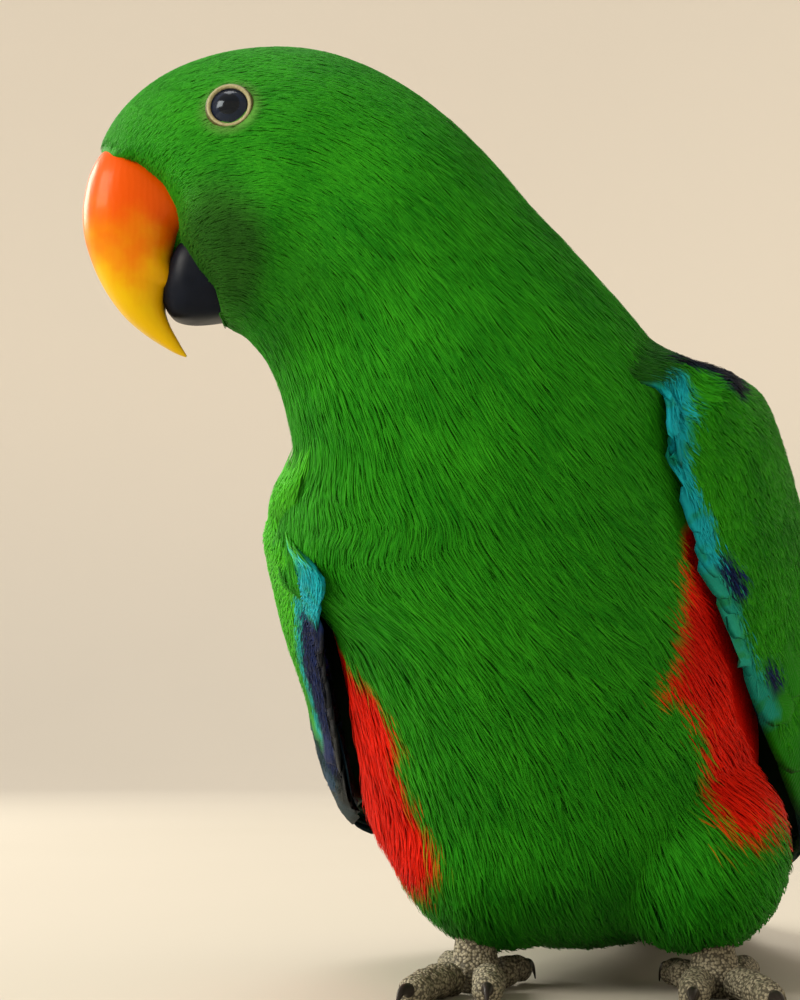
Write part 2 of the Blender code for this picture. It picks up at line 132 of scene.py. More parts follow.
# Round the way an eye looks, no strand grows nearer than LID_BARE, and the plumage turns to olive
# between two radii.
LID_BARE = 4.35
OLIVE_RING = (6.6, 4.4)

FOOT_AT = {"right": (15.7, 3.0), "left": (64.7, -5.0)}
FOOT_HEADING = {"right": 12.0, "left": 4.0}
# The thighs swell the body only behind this spine row.
THIGH_ROW = 11.8
THIGH_LIFT = 29.5
THIGH_BACK = 6.0
THIGH_IN = 3.0
THIGH_HALF = np.array([20.0, 25.0, 21.5])
THIGH_BLEND = 5.0
SHANK_TOP = 22.0
PAD_RADIUS = 5.3
TOES = {
    "inner_front": ( 3.9,  5.0,   -8.0, 20.0, 3.5),
    "outer_front": (-3.9,  5.0,   10.0, 25.0, 3.6),
    "inner_hind":  ( 4.6, -4.6, -163.0, 12.0, 3.2),
    "outer_hind":  (-4.6, -4.6,  165.0, 19.0, 3.4),
}
TOE_RISE = 2.7
TOE_ARCH = 0.9
TOE_TAPER = 0.22
PAD_LENGTH = 7.0
PAD_SWELL = 0.07
CLAW_LENGTH = 8.5
CLAW_THICK = 1.55
CLAW_TAPER = 0.9
CLAW_BEND = 1.25
CLAW_RISE = 0.7
CLAW_ARCH = 0.9
CLAW_DROP = 3.1
CLAW_NARROW = 0.85
HANDS = {"left": 1, "right": -1}
# A shank's half widths as shares of the pad's, by shares of its height, and its slope to the rear
# above the ankle.
SHANK_RISE = (0.0, 0.05, 0.15, 0.25, 0.37, 0.55, 0.77, 1.0)
SHANK_HALF = (0.72, 0.92, 1.0, 0.96, 0.86, 0.76, 0.74, 0.74)
SHANK_SLOPE = 0.15
ANKLE = 5.0
SHANK_KNOB = 0.06
TOE_KNOB = 0.28

# The bulge of the cornea, its half angle, the polar angle at which the iris meets the white, and a
# lid's section: how far out from the way of looking and how high along it.
CORNEA = 0.25
CORNEA_WIDE = 0.45
IRIS_EDGE = 0.75
LID_PROFILE = np.array([(3.30, 3.50), (3.36, 3.90), (3.52, 4.20), (3.72, 4.34), (3.94, 4.34),
                        (4.15, 4.20), (4.36, 3.90), (4.52, 3.30), (4.48, 2.60), (4.20, 2.10),
                        (3.85, 2.30), (3.50, 2.90)])
LID_WIDE = 1.1
LID_BEADS = 26
LID_BEAD = 0.05

# The edge of the feathers round the bill, in the side view: x and z, from the culmen to the throat.
# Behind it the face swells from MARGIN_HALF either side of the head's plane, and ahead of it the
# face narrows by MARGIN_FALL for each millimetre, down to MARGIN_LEAST.
MARGIN = np.array([(-60.5, 163.0), (-56.8, 162.0), (-53.6, 159.3), (-49.3, 158.1), (-47.4, 156.6),
                   (-44.0, 153.7), (-41.5, 149.3), (-40.7, 145.9), (-40.4, 143.2), (-37.3, 137.9),
                   (-34.1, 134.1), (-32.8, 129.6), (-31.6, 120.0)])
MARGIN_HALF = 5.4
MARGIN_RISE = 5.6
MARGIN_BLEND = 2.5
MARGIN_FALL = 1.5
MARGIN_LEAST = 1.2

# How the coat lies, by spine row: its depth over the skin, a strand's length and half width, how
# many grow on a square millimetre, how far they swirl to the bird's left, and their spread.
LIE = np.array([
    ( 0.0, 0.26,  1.9, 0.115, 10.0,  0.00, 0.14),
    ( 2.0, 0.29,  2.4, 0.120,  9.5,  0.00, 0.13),
    ( 3.6, 0.36,  3.2, 0.125,  7.4,  0.00, 0.12),
    ( 5.2, 0.48,  4.3, 0.130,  5.2, -0.04, 0.11),
    ( 6.8, 0.72,  6.0, 0.140,  3.7, -0.12, 0.11),
    ( 8.6, 1.05,  8.2, 0.150,  2.7, -0.26, 0.11),
    (10.2, 1.40,  9.6, 0.165,  2.1, -0.42, 0.11),
    (11.7, 1.90,  9.5, 0.180,  1.8, -0.40, 0.13),
    (13.0, 2.10, 10.0, 0.190,  1.6, -0.22, 0.15),
    (14.3, 2.30, 10.0, 0.200,  1.5, -0.05, 0.18),
    (17.5, 1.80, 11.0, 0.230,  1.2,  0.00, 0.20),
    (22.0, 0.30, 11.0, 0.230,  1.2,  0.00, 0.20),
])
# The skin's rings, closest on the face: first and last row and count of each stretch; and the
# points round each ring.
SKIN_ROWS = ((0.0, 4.0, 110), (4.06, 7.0, 45), (7.1, 21.2, 115))
SKIN_AROUND = 200
# How near the floor the skin, the coat and the tail come.
SKIN_FLOOR = 0.4
COAT_FLOOR = 0.3
TAIL_FLOOR = 0.25
# Each coat piece: its rows, its angles in degrees, and the rings of a strand.
COAT = {
    "coat_face": ((0.3, 2.7), (0, 360), 1),
    "coat_cheek": ((2.7, 4.4), (0, 360), 1),
    "coat_crown": ((4.4, 6.4), (0, 360), 1),
    "coat_nape": ((6.4, 7.8), (0, 360), 2),
    "coat_collar": ((7.8, 9.1), (0, 360), 2),
    "coat_neck": ((9.1, 10.3), (0, 360), 2),
    "coat_breast": ((10.3, 11.7), (-60, 240), 2),
    "coat_underbreast": ((11.7, 13.0), (-60, 240), 2),
    "coat_belly": ((13.0, 14.3), (-60, 240), 2),
    "coat_vent": ((14.3, 18.4), (-75, 255), 2),
    "coat_back": ((10.3, 18.4), (235, 305), 2),
}
# The coat pieces that meet the wings' edges.
BESIDE_WINGS = ("coat_collar", "coat_neck", "coat_breast", "coat_back")
# By a strand's count of rings: the shares of its length where it has nodes, how high they stand as
# shares of the coat's depth, and how unevenly the coat lies.
STRAND_RUN = {1: ((0.0, 0.5, 1.0), (0.3, 0.8, 0.8), 0.06),
              2: ((0.0, 0.3, 0.7, 1.0), (0.0, 0.6, 0.85, 0.9), 0.12)}
# A strand's height as a share of its half width, how it narrows at its second ring, and the size
# of its patch on the OFBake map.
STRAND_THICK = 0.25
STRAND_TAPER = 0.8
STRAND_PATCH = 0.003
# The surface's cells, along and round, among which strand roots are shared out.
ROOT_CELLS = (180, 240)
# No strand grows under a folded wing: between these rows, and this far inside the wing's edges.
UNDER_WING_ROWS = (10.8, 18.0)
UNDER_WING_INSET = (16.0, 14.0)

# Where a wing's feathers begin, by spine row, as a share of the way up from the wing's lower edge.
EDGE_ROWS = {1: (10.15, 10.3, 10.5, 10.8, 11.1, 11.5), -1: (14.0, 14.5, 15.0, 15.5, 16.5, 18.0)}
EDGE_START = {1: (-0.05, -0.10, 0.07, 0.06, 0.03, 0.0), -1: (0.0, 0.07, 0.14, 0.18, 0.15, 0.05)}
# How far a wing stands off the body at the shoulder, by spine row.
SHOULDER_ROWS = {1: (9.75, 9.9, 10.1, 10.3, 10.45), -1: (8.9, 9.2, 9.4, 9.6, 9.8, 10.0, 10.15)}
SHOULDER_WIDE = {1: (0.0, 0.12, 0.5, 0.88, 1.0), -1: (0.0, 0.16, 0.29, 0.5, 0.66, 0.87, 1.0)}
# The left wing's turquoise band: spine rows, and the share of the wing's width that it takes.
BAND_ROWS = (10.15, 10.35, 10.5, 10.7, 10.9, 11.1, 11.35, 11.6)
BAND_WIDE = (0.26, 0.22, 0.11, 0.05, 0.028, 0.022, 0.035, 0.025)
# The first rows of a wing's fine strands, its base sheet and its small coverts.
DOWN_START = {1: 9.3, -1: 8.8}
BASE_START = {1: 10.3, -1: 9.8}
COVERT_START = 9.9
# The great coverts: start row, count, length in rows, width and height over the wing.
GREAT_COVERTS = ((12.45, 15, 0.95, 5.6, 0.05), (12.95, 14, 1.15, 6.2, -0.05),
                 (13.45, 13, 1.5, 6.6, -0.15), (14.1, 12, 1.7, 6.8, -0.25))
SECONDARIES = 11
PRIMARIES = 9
TAIL_FEATHERS = 12
# Where the coat is drawn out to the right wing: the share of the wing's width that it meets, and
# the rows either side whose mean it follows.
MEETING_SHARE = 0.05
MEETING_ROWS = (-0.4, 0.0, 0.4)

# The red flanks: spine row, and the angle of the patch's front edge on the left and right side.
RED_LEFT = np.array([(11.1, 5), (11.4, 27), (12.0, 39), (12.25, 42), (12.38, 51), (12.5, 44),
                     (12.8, 40), (13.2, 39), (13.5, 43), (13.68, 43), (13.8, 37), (13.95, 27),
                     (14.4, 28), (14.7, 18), (15.3, -10)])
RED_RIGHT = np.array([(11.6, 170), (11.9, 134), (12.15, 130), (12.38, 128), (12.58, 132),
                      (12.82, 130), (13.14, 126), (13.37, 119), (13.5, 119), (13.8, 123),
                      (13.97, 132), (14.1, 145), (14.6, 165), (15.3, 195)])
# The angles over which the red ends at the back, on the left and right side.
RED_BACK = {1: (-44.0, -36.0), -1: (224.0, 216.0)}


# The studio, in metres: how far the floor runs flat, the radius of its bend into the wall, and the
# wall's top; the room's light; each light's name, place, size, power in watts and tint; and the
# camera's place, tilt and lens, whose focal length is given in pixels of the picture's height.
FLOOR_REACH = 2.2
FLOOR_BEND = 0.8
WALL_TOP = 2.6
ROOM_TINT = (1.0, 0.93, 0.84, 1.0)
ROOM_LIGHT = 0.54
LIGHTS = (("key", (-1.4, -0.9, 0.95), 0.8, 24.0, (1.0, 0.95, 0.86)),
          ("rim", (-1.3, 0.7, 0.8), 0.7, 20.0, (1.0, 0.97, 0.86)),
          ("top", (-0.2, 0.3, 1.9), 1.0, 12.0, (1.0, 0.96, 0.9)))
LIGHTS_AIM = (0.0, -0.05, 0.09)
CAMERA_AT = (-0.0213, -0.4394, 0.049)
CAMERA_TILT = 98.13
SENSOR = 36.0
FOCUS_PIXELS = 1785.0
PICTURE_PIXELS = 1000.0


# Shapes

def unit(vectors):
    """Vectors brought to length one."""
    return vectors / np.maximum(np.linalg.norm(vectors, axis=-1, keepdims=True), 1e-12)


def ease(low, high, value):
    """A smooth step from 0 at low to 1 at high."""
    part = np.clip((value - low) / (high - low), 0.0, 1.0)
    return part * part * (3.0 - 2.0 * part)


def window(value, low, high, soft):
    """1 between low and high, with soft edges."""
    return ease(low - soft, low + soft, value) * ease(high + soft, high - soft, value)


def along(rows, at):
    """Smooth rows between numbered rows: a Catmull-Rom curve through every column."""
    last = len(rows) - 1
    at = np.clip(np.asarray(at, float), 0.0, last - 1e-9)
    low = np.floor(at).astype(int)
    part = (at - low)[..., None]
    before, here, there, after = (rows[np.clip(low + k, 0, last)] for k in (-1, 0, 1, 2))
    return 0.5 * (2 * here + (there - before) * part
                  + (2 * before - 5 * here + 4 * there - after) * part ** 2
                  + (3 * here - before - 3 * there + after) * part ** 3)


def slice_frame(row):
    """The middle of a slice, its way to the bird's left or crown, and its way to the front."""
    heading, lean, pitch = (np.radians(row[..., k]) for k in (3, 4, 5))
    ahead = np.stack([-np.sin(heading), -np.cos(heading), 0 * heading], -1)
    side = np.stack([np.cos(heading) * np.cos(lean), -np.sin(heading) * np.cos(lean), np.sin(lean)], -1)
    rise = np.cross(ahead, side)
    front = np.cos(pitch)[..., None] * ahead - np.sin(pitch)[..., None] * rise
    return row[..., :3], side, front


def foot_frame(hand):
    """The middle of a foot on the floor, the way it points and the way to the bird's left."""
    name = "left" if hand > 0 else "right"
    heading = np.radians(FOOT_HEADING[name])
    ahead = np.array([-np.sin(heading), -np.cos(heading), 0.0])
    left = np.array([np.cos(heading), -np.sin(heading), 0.0])
    return np.array([*FOOT_AT[name], 0.0]), ahead, left


def thigh_exit(middle, way):
    """How far along a way the outer side of the nearer thigh's ellipsoid lies, or 0 if it is missed."""
    reach = np.zeros(way.shape[:-1])
    for hand in HANDS.values():
        foot, ahead, left = foot_frame(hand)
        heart = foot - ahead * THIGH_BACK - left * hand * THIGH_IN + (0.0, 0.0, THIGH_LIFT)
        start, run = (middle - heart) / THIGH_HALF, way / THIGH_HALF
        square, cross, rest = (run * run).sum(-1), (start * run).sum(-1), (start * start).sum(-1) - 1.0
        inside = cross * cross - square * rest
        hit = np.where(inside > 0, (np.sqrt(np.maximum(inside, 0.0)) - cross) / square, 0.0)
        reach = np.maximum(reach, hit)
    return reach


def skin_point(at, angle, height=0.0):
    """A point over the skin. The slice's half widths times cosine and sine give the coat's surface;
    it is joined to the thighs by a smooth maximum, and the skin lies the coat's depth below it. On
    the face a smooth minimum narrows it towards the edge of the feathers round the bill.
    """
    row = along(SPINE, at)
    middle, side, front = slice_frame(row)
    across = np.where(np.cos(angle) > 0, row[..., 6], row[..., 7]) * np.cos(angle)
    deep = np.where(np.sin(angle) > 0, row[..., 8], row[..., 9]) * np.sin(angle)
    out = across[..., None] * side + deep[..., None] * front
    radius = np.hypot(across, deep)
    way = out / radius[..., None]
    thigh = np.where(np.asarray(at) > THIGH_ROW, thigh_exit(middle, way), 0.0)
    mix = np.clip(0.5 + 0.5 * (radius - thigh) / THIGH_BLEND, 0.0, 1.0)
    reach = thigh + (radius - thigh) * mix + THIGH_BLEND * mix * (1.0 - mix) * (thigh > 0)
    reach = reach - lie(at, 1) + height
    point = middle + way * reach[..., None]
    if np.min(at) > 5.5:
        return point
    over = np.abs(point[..., 1] - HEAD_PLANE)
    behind = bill_margin(point[..., 0], point[..., 2])
    cap = MARGIN_HALF + MARGIN_RISE * np.sqrt(np.maximum(behind, 0.0))
    cap = np.maximum(cap + MARGIN_FALL * np.minimum(behind, 0.0), MARGIN_LEAST)
    mix = np.clip(0.5 + 0.5 * (cap - over) / MARGIN_BLEND, 0.0, 1.0)
    kept = cap + (over - cap) * mix - MARGIN_BLEND * mix * (1.0 - mix)
    on_face = np.broadcast_to(at, over.shape) < 5.5
    kept = np.where(on_face & (over > 0.1), np.minimum(kept, over), over)
    point[..., 1] = HEAD_PLANE + np.sign(point[..., 1] - HEAD_PLANE) * kept
    return point


def lie(at, column):
    """One column of LIE at given spine rows."""
    return np.interp(at, LIE[:, 0], LIE[:, column])


def bill_margin(x, z):
    """How far points lie behind MARGIN in the side view: the distance to its nearest stretch, less
    than zero towards the bill.
    """
    spot = np.stack([x, z], -1)[..., None, :] - MARGIN[:-1]
    run = np.diff(MARGIN, axis=0)
    share = np.clip((spot * run).sum(-1) / (run * run).sum(-1), 0.0, 1.0)
    far = np.linalg.norm(spot - share[..., None] * run, axis=-1)
    side = np.sign(run[:, 0] * spot[..., 1] - run[:, 1] * spot[..., 0])
    near = far.argmin(-1)[..., None]
    return np.take_along_axis(far * side, near, -1)[..., 0]


def wing_point(at, share, depth, hand):
    """A point of a folded wing: on the wing's tube, at a share of the way from its lower to its
    upper edge, and sunk by a share of its thickness, but never into the body.
    """
    row = along(SPINE, at)
    middle, side, front = slice_frame(row)
    place = np.interp(at, WING[:, 0], np.arange(len(WING)))
    low, high, shift, reach, over, under, thick, droop = np.moveaxis(along(WING[:, 1:], place), -1, 0)
    angle = np.radians(low + (high - low) * share)
    sunk = depth * thick * (1.0 - WING_TAPER * share)
    reach = reach + np.where(hand < 0, RIGHT_DROOP * droop, 0.0)
    across = (reach - sunk) * np.cos(angle) + hand * WING_SWAY
    deep = shift - np.where(angle > 0, over - sunk, under - sunk) * np.sin(angle)
    half = np.where(hand > 0, row[..., 6], row[..., 7]) + WING_GAP
    body = np.hypot(across / half, deep / (np.where(deep > 0, row[..., 8], row[..., 9]) + WING_GAP))
    push = 1.0 / np.minimum(body, 1.0)
    lift = WING_LIFT * thick * (1 - depth)
    grow = push + np.where(push > 1.0, lift / half, 0.0)
    return middle + (hand * across * grow)[..., None] * side + (deep * grow)[..., None] * front


def ripple(points, wave, seed):
    """Smooth unevenness from -1 to 1: the mean of eight sine waves of one length in random ways."""
    rng = np.random.default_rng(seed)
    ways = unit(rng.normal(size=(8, 3))) * TURN / wave
    starts = rng.random(8) * TURN
    return np.sin(points @ ways.T + starts).sum(-1) / 4.0


# Meshes

def make_mesh(name, verts, faces, material, smooth=True):
    """A mesh object in metres from points in millimetres and one array of faces per corner count."""
    mesh = bpy.data.meshes.new(name)
    flat = (np.asarray(verts).reshape(-1, 3) - ORIGIN) * MM
    loops = np.concatenate([f.ravel() for f in faces])
    sizes = np.concatenate([np.full(len(f), f.shape[1]) for f in faces])
    starts = np.concatenate([[0], np.cumsum(sizes)[:-1]])
    mesh.vertices.add(len(flat))
    mesh.vertices.foreach_set("co", flat.astype(np.float32).ravel())
    mesh.loops.add(len(loops))
    mesh.loops.foreach_set("vertex_index", loops.astype(np.int32))
    mesh.polygons.add(len(sizes))
    mesh.polygons.foreach_set("loop_start", starts.astype(np.int32))
    mesh.polygons.foreach_set("use_smooth", np.full(len(sizes), smooth))
    mesh.update(calc_edges=True)
    mesh.materials.append(material)
    piece = bpy.data.objects.new(name, mesh)
    bpy.context.scene.collection.objects.link(piece)
    return piece


def add_attribute(piece, name, values):
    """A vector at each vertex, under a name that the material reads."""
    layer = piece.data.attributes.new(name, "FLOAT_VECTOR", "POINT")
    layer.data.foreach_set("vector", np.asarray(values, np.float32).reshape(-1))


def add_ring_attribute(piece, name, values):
    """A vector at each ring vertex of a tube. Its two end vertices take their ring's first or last."""
    flat = np.reshape(values, (-1, 3))
    add_attribute(piece, name, np.concatenate([flat, flat[:1], flat[-1:]]))


def add_uv(piece, values):
    """The OFBake map from one place per vertex."""
    loops = np.zeros(len(piece.data.loops), np.int32)
    piece.data.loops.foreach_get("vertex_index", loops)
    layer = piece.data.uv_layers.new(name="OFBake")
    layer.data.foreach_set("uv", np.clip(values, 0.002, 0.998)[loops].astype(np.float32).ravel())


def finish_piece(piece, slot, *nodes):
    """Fixes a piece to the body and hides the solids it stands for."""
    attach(piece, "root")
    if nodes:
        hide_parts(*nodes)


def tube_faces(count, around):
    """Quads of a tube of rings, and the two fans that close it at its last two vertices."""
    ring = np.arange(count - 1)[:, None] * around
    step = np.arange(around)[None, :]
    turn = (step + 1) % around
    quads = np.stack([ring + step, ring + turn, ring + around + turn, ring + around + step], -1)
    first, last = count * around, count * around + 1
    step, turn = step[0], turn[0]
    end = (count - 1) * around
    fans = np.concatenate([np.stack([np.full(around, first), turn, step], -1),
                           np.stack([np.full(around, last), step + end, turn + end], -1)])
    return [quads.reshape(-1, 4), fans]


def add_tube(name, rings, material, flip=False):
    """A closed tube: rings joined by quads, with a fan at each end. Its map is ring against turn."""
    count, around, _ = rings.shape
    verts = np.concatenate([rings.reshape(-1, 3), rings[:1].mean(1), rings[-1:].mean(1)])
    faces = tube_faces(count, around)
    if flip:
        faces = [f[:, ::-1] for f in faces]
    piece = make_mesh(name, verts, faces, material)
    u, v = np.meshgrid(np.linspace(0.02, 0.98, count), np.linspace(0.0, 1.0, around + 1), indexing="ij")
    table = np.stack([u, v], -1)
    quad = np.stack(np.meshgrid(np.arange(count - 1), np.arange(around), indexing="ij"), -1).reshape(-1, 2)
    order = [(0, 0), (0, 1), (1, 1), (1, 0)]
    if flip:
        order = order[::-1]
    corners = np.stack([table[quad[:, 0] + a, quad[:, 1] + b] for a, b in order], 1).reshape(-1, 2)
    mid = (np.arange(around) + 0.5) / around
    ends = []
    for end, (spin_a, spin_b) in ((0.0, (1, 0)), (1.0, (0, 1))):
        edge = 0.02 if end == 0.0 else 0.98
        fan = [np.stack([np.full(around, end), mid], -1),
               np.stack([np.full(around, edge), (np.arange(around) + spin_a) / around], -1),
               np.stack([np.full(around, edge), (np.arange(around) + spin_b) / around], -1)]
        ends.append(np.stack(fan[::-1] if flip else fan, 1).reshape(-1, 2))
    uv = np.concatenate([corners, *ends])
    layer = piece.data.uv_layers.new(name="OFBake")
    layer.data.foreach_set("uv", np.clip(uv, 0.001, 0.999).astype(np.float32).ravel())
    return piece


# Node trees

def wire(tree, kind, values=None, **settings):
    """A node with its settings, and its inputs set to a number or joined to another node's output."""
    made = tree.nodes.new("ShaderNode" + kind)
    for name, value in settings.items():
        setattr(made, name, value)
    for name, value in (values or {}).items():
        if isinstance(value, bpy.types.NodeSocket):
            tree.links.new(value, made.inputs[name])
        else:
            made.inputs[name].default_value = value
    return made


def new_group(name, inputs, outputs):
    """A node group with named inputs (kind and starting value) and named outputs (kind)."""
    tree = bpy.data.node_groups.new(name, "ShaderNodeTree")
    for label, (kind, value) in inputs.items():
        socket = tree.interface.new_socket(label, in_out="INPUT", socket_type="NodeSocket" + kind)
        if value is not None:
            socket.default_value = value
    for label, kind in outputs.items():
        tree.interface.new_socket(label, in_out="OUTPUT", socket_type="NodeSocket" + kind)
    return tree, tree.nodes.new("NodeGroupInput").outputs, tree.nodes.new("NodeGroupOutput")


def mix_colour(tree, share, first, second, blend="MIX"):
    """Two colours mixed by a share."""
    made = wire(tree, "Mix", data_type="RGBA", blend_type=blend)
    for index, value in ((0, share), (6, first), (7, second)):
        if isinstance(value, bpy.types.NodeSocket):
            tree.links.new(value, made.inputs[index])
        else:
            made.inputs[index].default_value = value
    return made.outputs[2]


def maths(tree, operation, first, second=0.0, third=0.0, clamp=False):
    """One step of arithmetic."""
    return wire(tree, "Math", {0: first, 1: second, 2: third}, operation=operation,
                use_clamp=clamp).outputs[0]


def remap(tree, value, low, high, out_low, out_high):
    """A value carried from one range to another and held at its ends."""
    return wire(tree, "MapRange", {"Value": value, "From Min": low, "From Max": high,
                                   "To Min": out_low, "To Max": out_high}).outputs[0]


def ramp(tree, value, low, high):
    """0 at low to 1 at high, smooth."""
    return wire(tree, "MapRange", {"Value": value, "From Min": low, "From Max": high},
                interpolation_type="SMOOTHSTEP").outputs[0]


def noise(tree, place, scale, detail=2.0, rough=0.5):
    """A noise value at a place."""
    return wire(tree, "TexNoise", {"Vector": place, "Scale": scale, "Detail": detail,
                                   "Roughness": rough}).outputs["Fac"]


def new_material(name, **constants):
    """A material, its tree and its shader with the constant sockets set."""
    made = bpy.data.materials.new(name)
    made.use_nodes = True
    tree = made.node_tree
    shader = tree.nodes["Principled BSDF"]
    for label, value in constants.items():
        shader.inputs[label.replace("_", " ")].default_value = value
    return made, tree, shader


def raise_bumps(tree, shader, height, strength, deep, **settings):
    """Bumps on a shader's surface from heights, with a strength and a depth in metres."""
    bump = wire(tree, "Bump", {"Height": height, "Strength": strength, "Distance": deep}, **settings)
    tree.links.new(bump.outputs[0], shader.inputs["Normal"])


def paint(tree, shader, source):
    """Joins a colour to a shader."""
    tree.links.new(source, shader.inputs["Base Color"])


def place_of(tree):
    """Object coordinates in metres."""
    return wire(tree, "TexCoord").outputs["Object"]


def attribute(tree, name):
    """An attribute of the mesh as three values."""
    vector = wire(tree, "Attribute", attribute_name=name, attribute_type="GEOMETRY").outputs["Vector"]
    return wire(tree, "SeparateXYZ", {0: vector}).outputs


def colour(red, green, blue):
    """A linear colour from the usual 0 to 255 values."""
    value = np.array([red, green, blue]) / 255.0
    linear = np.where(value > 0.04045, ((value + 0.055) / 1.055) ** 2.4, value / 12.92)
    return (*(float(v) for v in linear), 1.0)


def plumage_group():
    """Colour of a strand: greens that vary in patches and strand by strand, darker at the root by painted
    shade and paler to the tip, with red and olive parts and painted shade laid over by their masks.
    On the skin the same inputs carry painted light that makes it paler.
    """
    tree, given, out = new_group(
        "plumage tones",
        {"Red": ("Float", 0.0), "Shade": ("Float", 0.0), "Olive": ("Float", 0.0),
         "Tip": ("Float", 0.5), "Chance and light": ("Float", 0.5)},
        {"Color": "Color"})
    place = place_of(tree)
    patch = remap(tree, noise(tree, place, 60.0, 3.0), 0.3, 0.7, 0.0, 1.0)
    green = mix_colour(tree, patch, colour(18, 115, 15), colour(33, 136, 18))
    # Strand by strand paler and yellower; on the skin this is painted light.
    green = mix_colour(tree, maths(tree, "MULTIPLY", given["Chance and light"], 0.3), green, colour(70, 170, 30))
    red = mix_colour(tree, patch, colour(196, 12, 4), colour(232, 26, 6))
    body = mix_colour(tree, given["Red"], green, red)
    body = mix_colour(tree, maths(tree, "MULTIPLY", given["Olive"], 0.75), body, colour(92, 142, 66))
    tone = maths(tree, "MULTIPLY_ADD", given["Chance and light"], 0.3, 0.85)
    # Painted shade at each strand's root, paler to its tip.
    tone = maths(tree, "MULTIPLY", tone, remap(tree, given["Tip"], 0.0, 1.0, 0.9, 1.07))
    # The shade mask darkens the colour by painted shade.
    tone = maths(tree, "MULTIPLY", tone, remap(tree, given["Shade"], 0.0, 1.0, 1.0, 0.3))
    shaded = wire(tree, "HueSaturation", {"Color": body, "Value": tone}).outputs[0]
    tree.links.new(shaded, out.inputs["Color"])
    return tree


def plumage_material(name, group, relief=0.0):
    """Silky strands: the shared tones, with a soft green shine. Relief raises a velvety grain."""
    made, tree, shader = new_material(name, Roughness=0.6, Specular_IOR_Level=0.1,
                                      Specular_Tint=(0.6, 0.9, 0.4, 1.0))
    marks_and_shade, strand = attribute(tree, "marks_and_shade"), attribute(tree, "strand")
    tones = tree.nodes.new("ShaderNodeGroup")
    tones.node_tree = group
    # The second mask is painted shade.
    for label, value in (("Red", marks_and_shade[0]), ("Shade", marks_and_shade[1]), ("Olive", marks_and_shade[2]),
                         ("Tip", strand[0]), ("Chance and light", strand[2])):
        tree.links.new(value, tones.inputs[label])
    paint(tree, shader, tones.outputs["Color"])
    if relief > 0.0:
        grain = noise(tree, place_of(tree), 1600.0, 2.0)
        raise_bumps(tree, shader, grain, relief, 0.0003)
    return made


def vane_material(name, relief=0.25, tipped=False):
    """A flight or covert feather: green, turquoise, navy and black parts and painted shade by their
    masks, darker at its root by painted shade, with barbs that slant from the shaft to the edge, and a
    dull yellow tip if tipped.
    """
    made, tree, shader = new_material(name, Roughness=0.58, Specular_IOR_Level=0.1,
                                      Specular_Tint=(0.6, 0.9, 0.6, 1.0))
    marks_and_shade, vane = attribute(tree, "marks_and_shade"), attribute(tree, "strand")
    place = place_of(tree)
    patch = remap(tree, noise(tree, place, 70.0, 2.0), 0.3, 0.7, 0.0, 1.0)
    side = maths(tree, "ABSOLUTE", vane[1])
    green = mix_colour(tree, patch, colour(18, 118, 6), colour(36, 144, 10))
    green = mix_colour(tree, maths(tree, "MULTIPLY", vane[2], 0.3), green, colour(72, 170, 24))
    blue = mix_colour(tree, patch, colour(8, 160, 174), colour(26, 182, 200))
    mottle = ramp(tree, noise(tree, place, 240.0, 2.0), 0.48, 0.68)
    blue = mix_colour(tree, maths(tree, "MULTIPLY", mottle, 0.7), blue, colour(20, 140, 84))
    body = mix_colour(tree, marks_and_shade[0], green, blue)
    navy = mix_colour(tree, vane[2], colour(6, 15, 50), colour(13, 34, 94))
    body = mix_colour(tree, marks_and_shade[1], body, navy)
    body = mix_colour(tree, marks_and_shade[2], body, colour(7, 8, 12))
    if tipped:
        body = mix_colour(tree, ramp(tree, vane[0], 0.9, 0.97), body, colour(150, 148, 52))
    tone = maths(tree, "MULTIPLY_ADD", vane[2], 0.3, 0.82)
    # Painted shade towards the root, where the feather before it lies over it.
    tone = maths(tree, "MULTIPLY", tone, remap(tree, vane[0], 0.1, 0.8, 0.78, 1.05))
    if relief > 0.0:
        tone = maths(tree, "MULTIPLY", tone, remap(tree, side, 0.6, 1.0, 1.0, 0.82))
    shaded = wire(tree, "HueSaturation", {"Color": body, "Value": tone}).outputs[0]
    paint(tree, shader, shaded)
    if relief > 0.0:
        slant = maths(tree, "MULTIPLY_ADD", side, -0.22, vane[0])
        barbs = maths(tree, "SINE", maths(tree, "MULTIPLY", slant, 190.0))
        shaft = maths(tree, "MULTIPLY", ramp(tree, side, 0.1, 0.0), 3.0)
        height = maths(tree, "ADD", barbs, shaft)
        raise_bumps(tree, shader, height, relief, 0.0002)
    return made


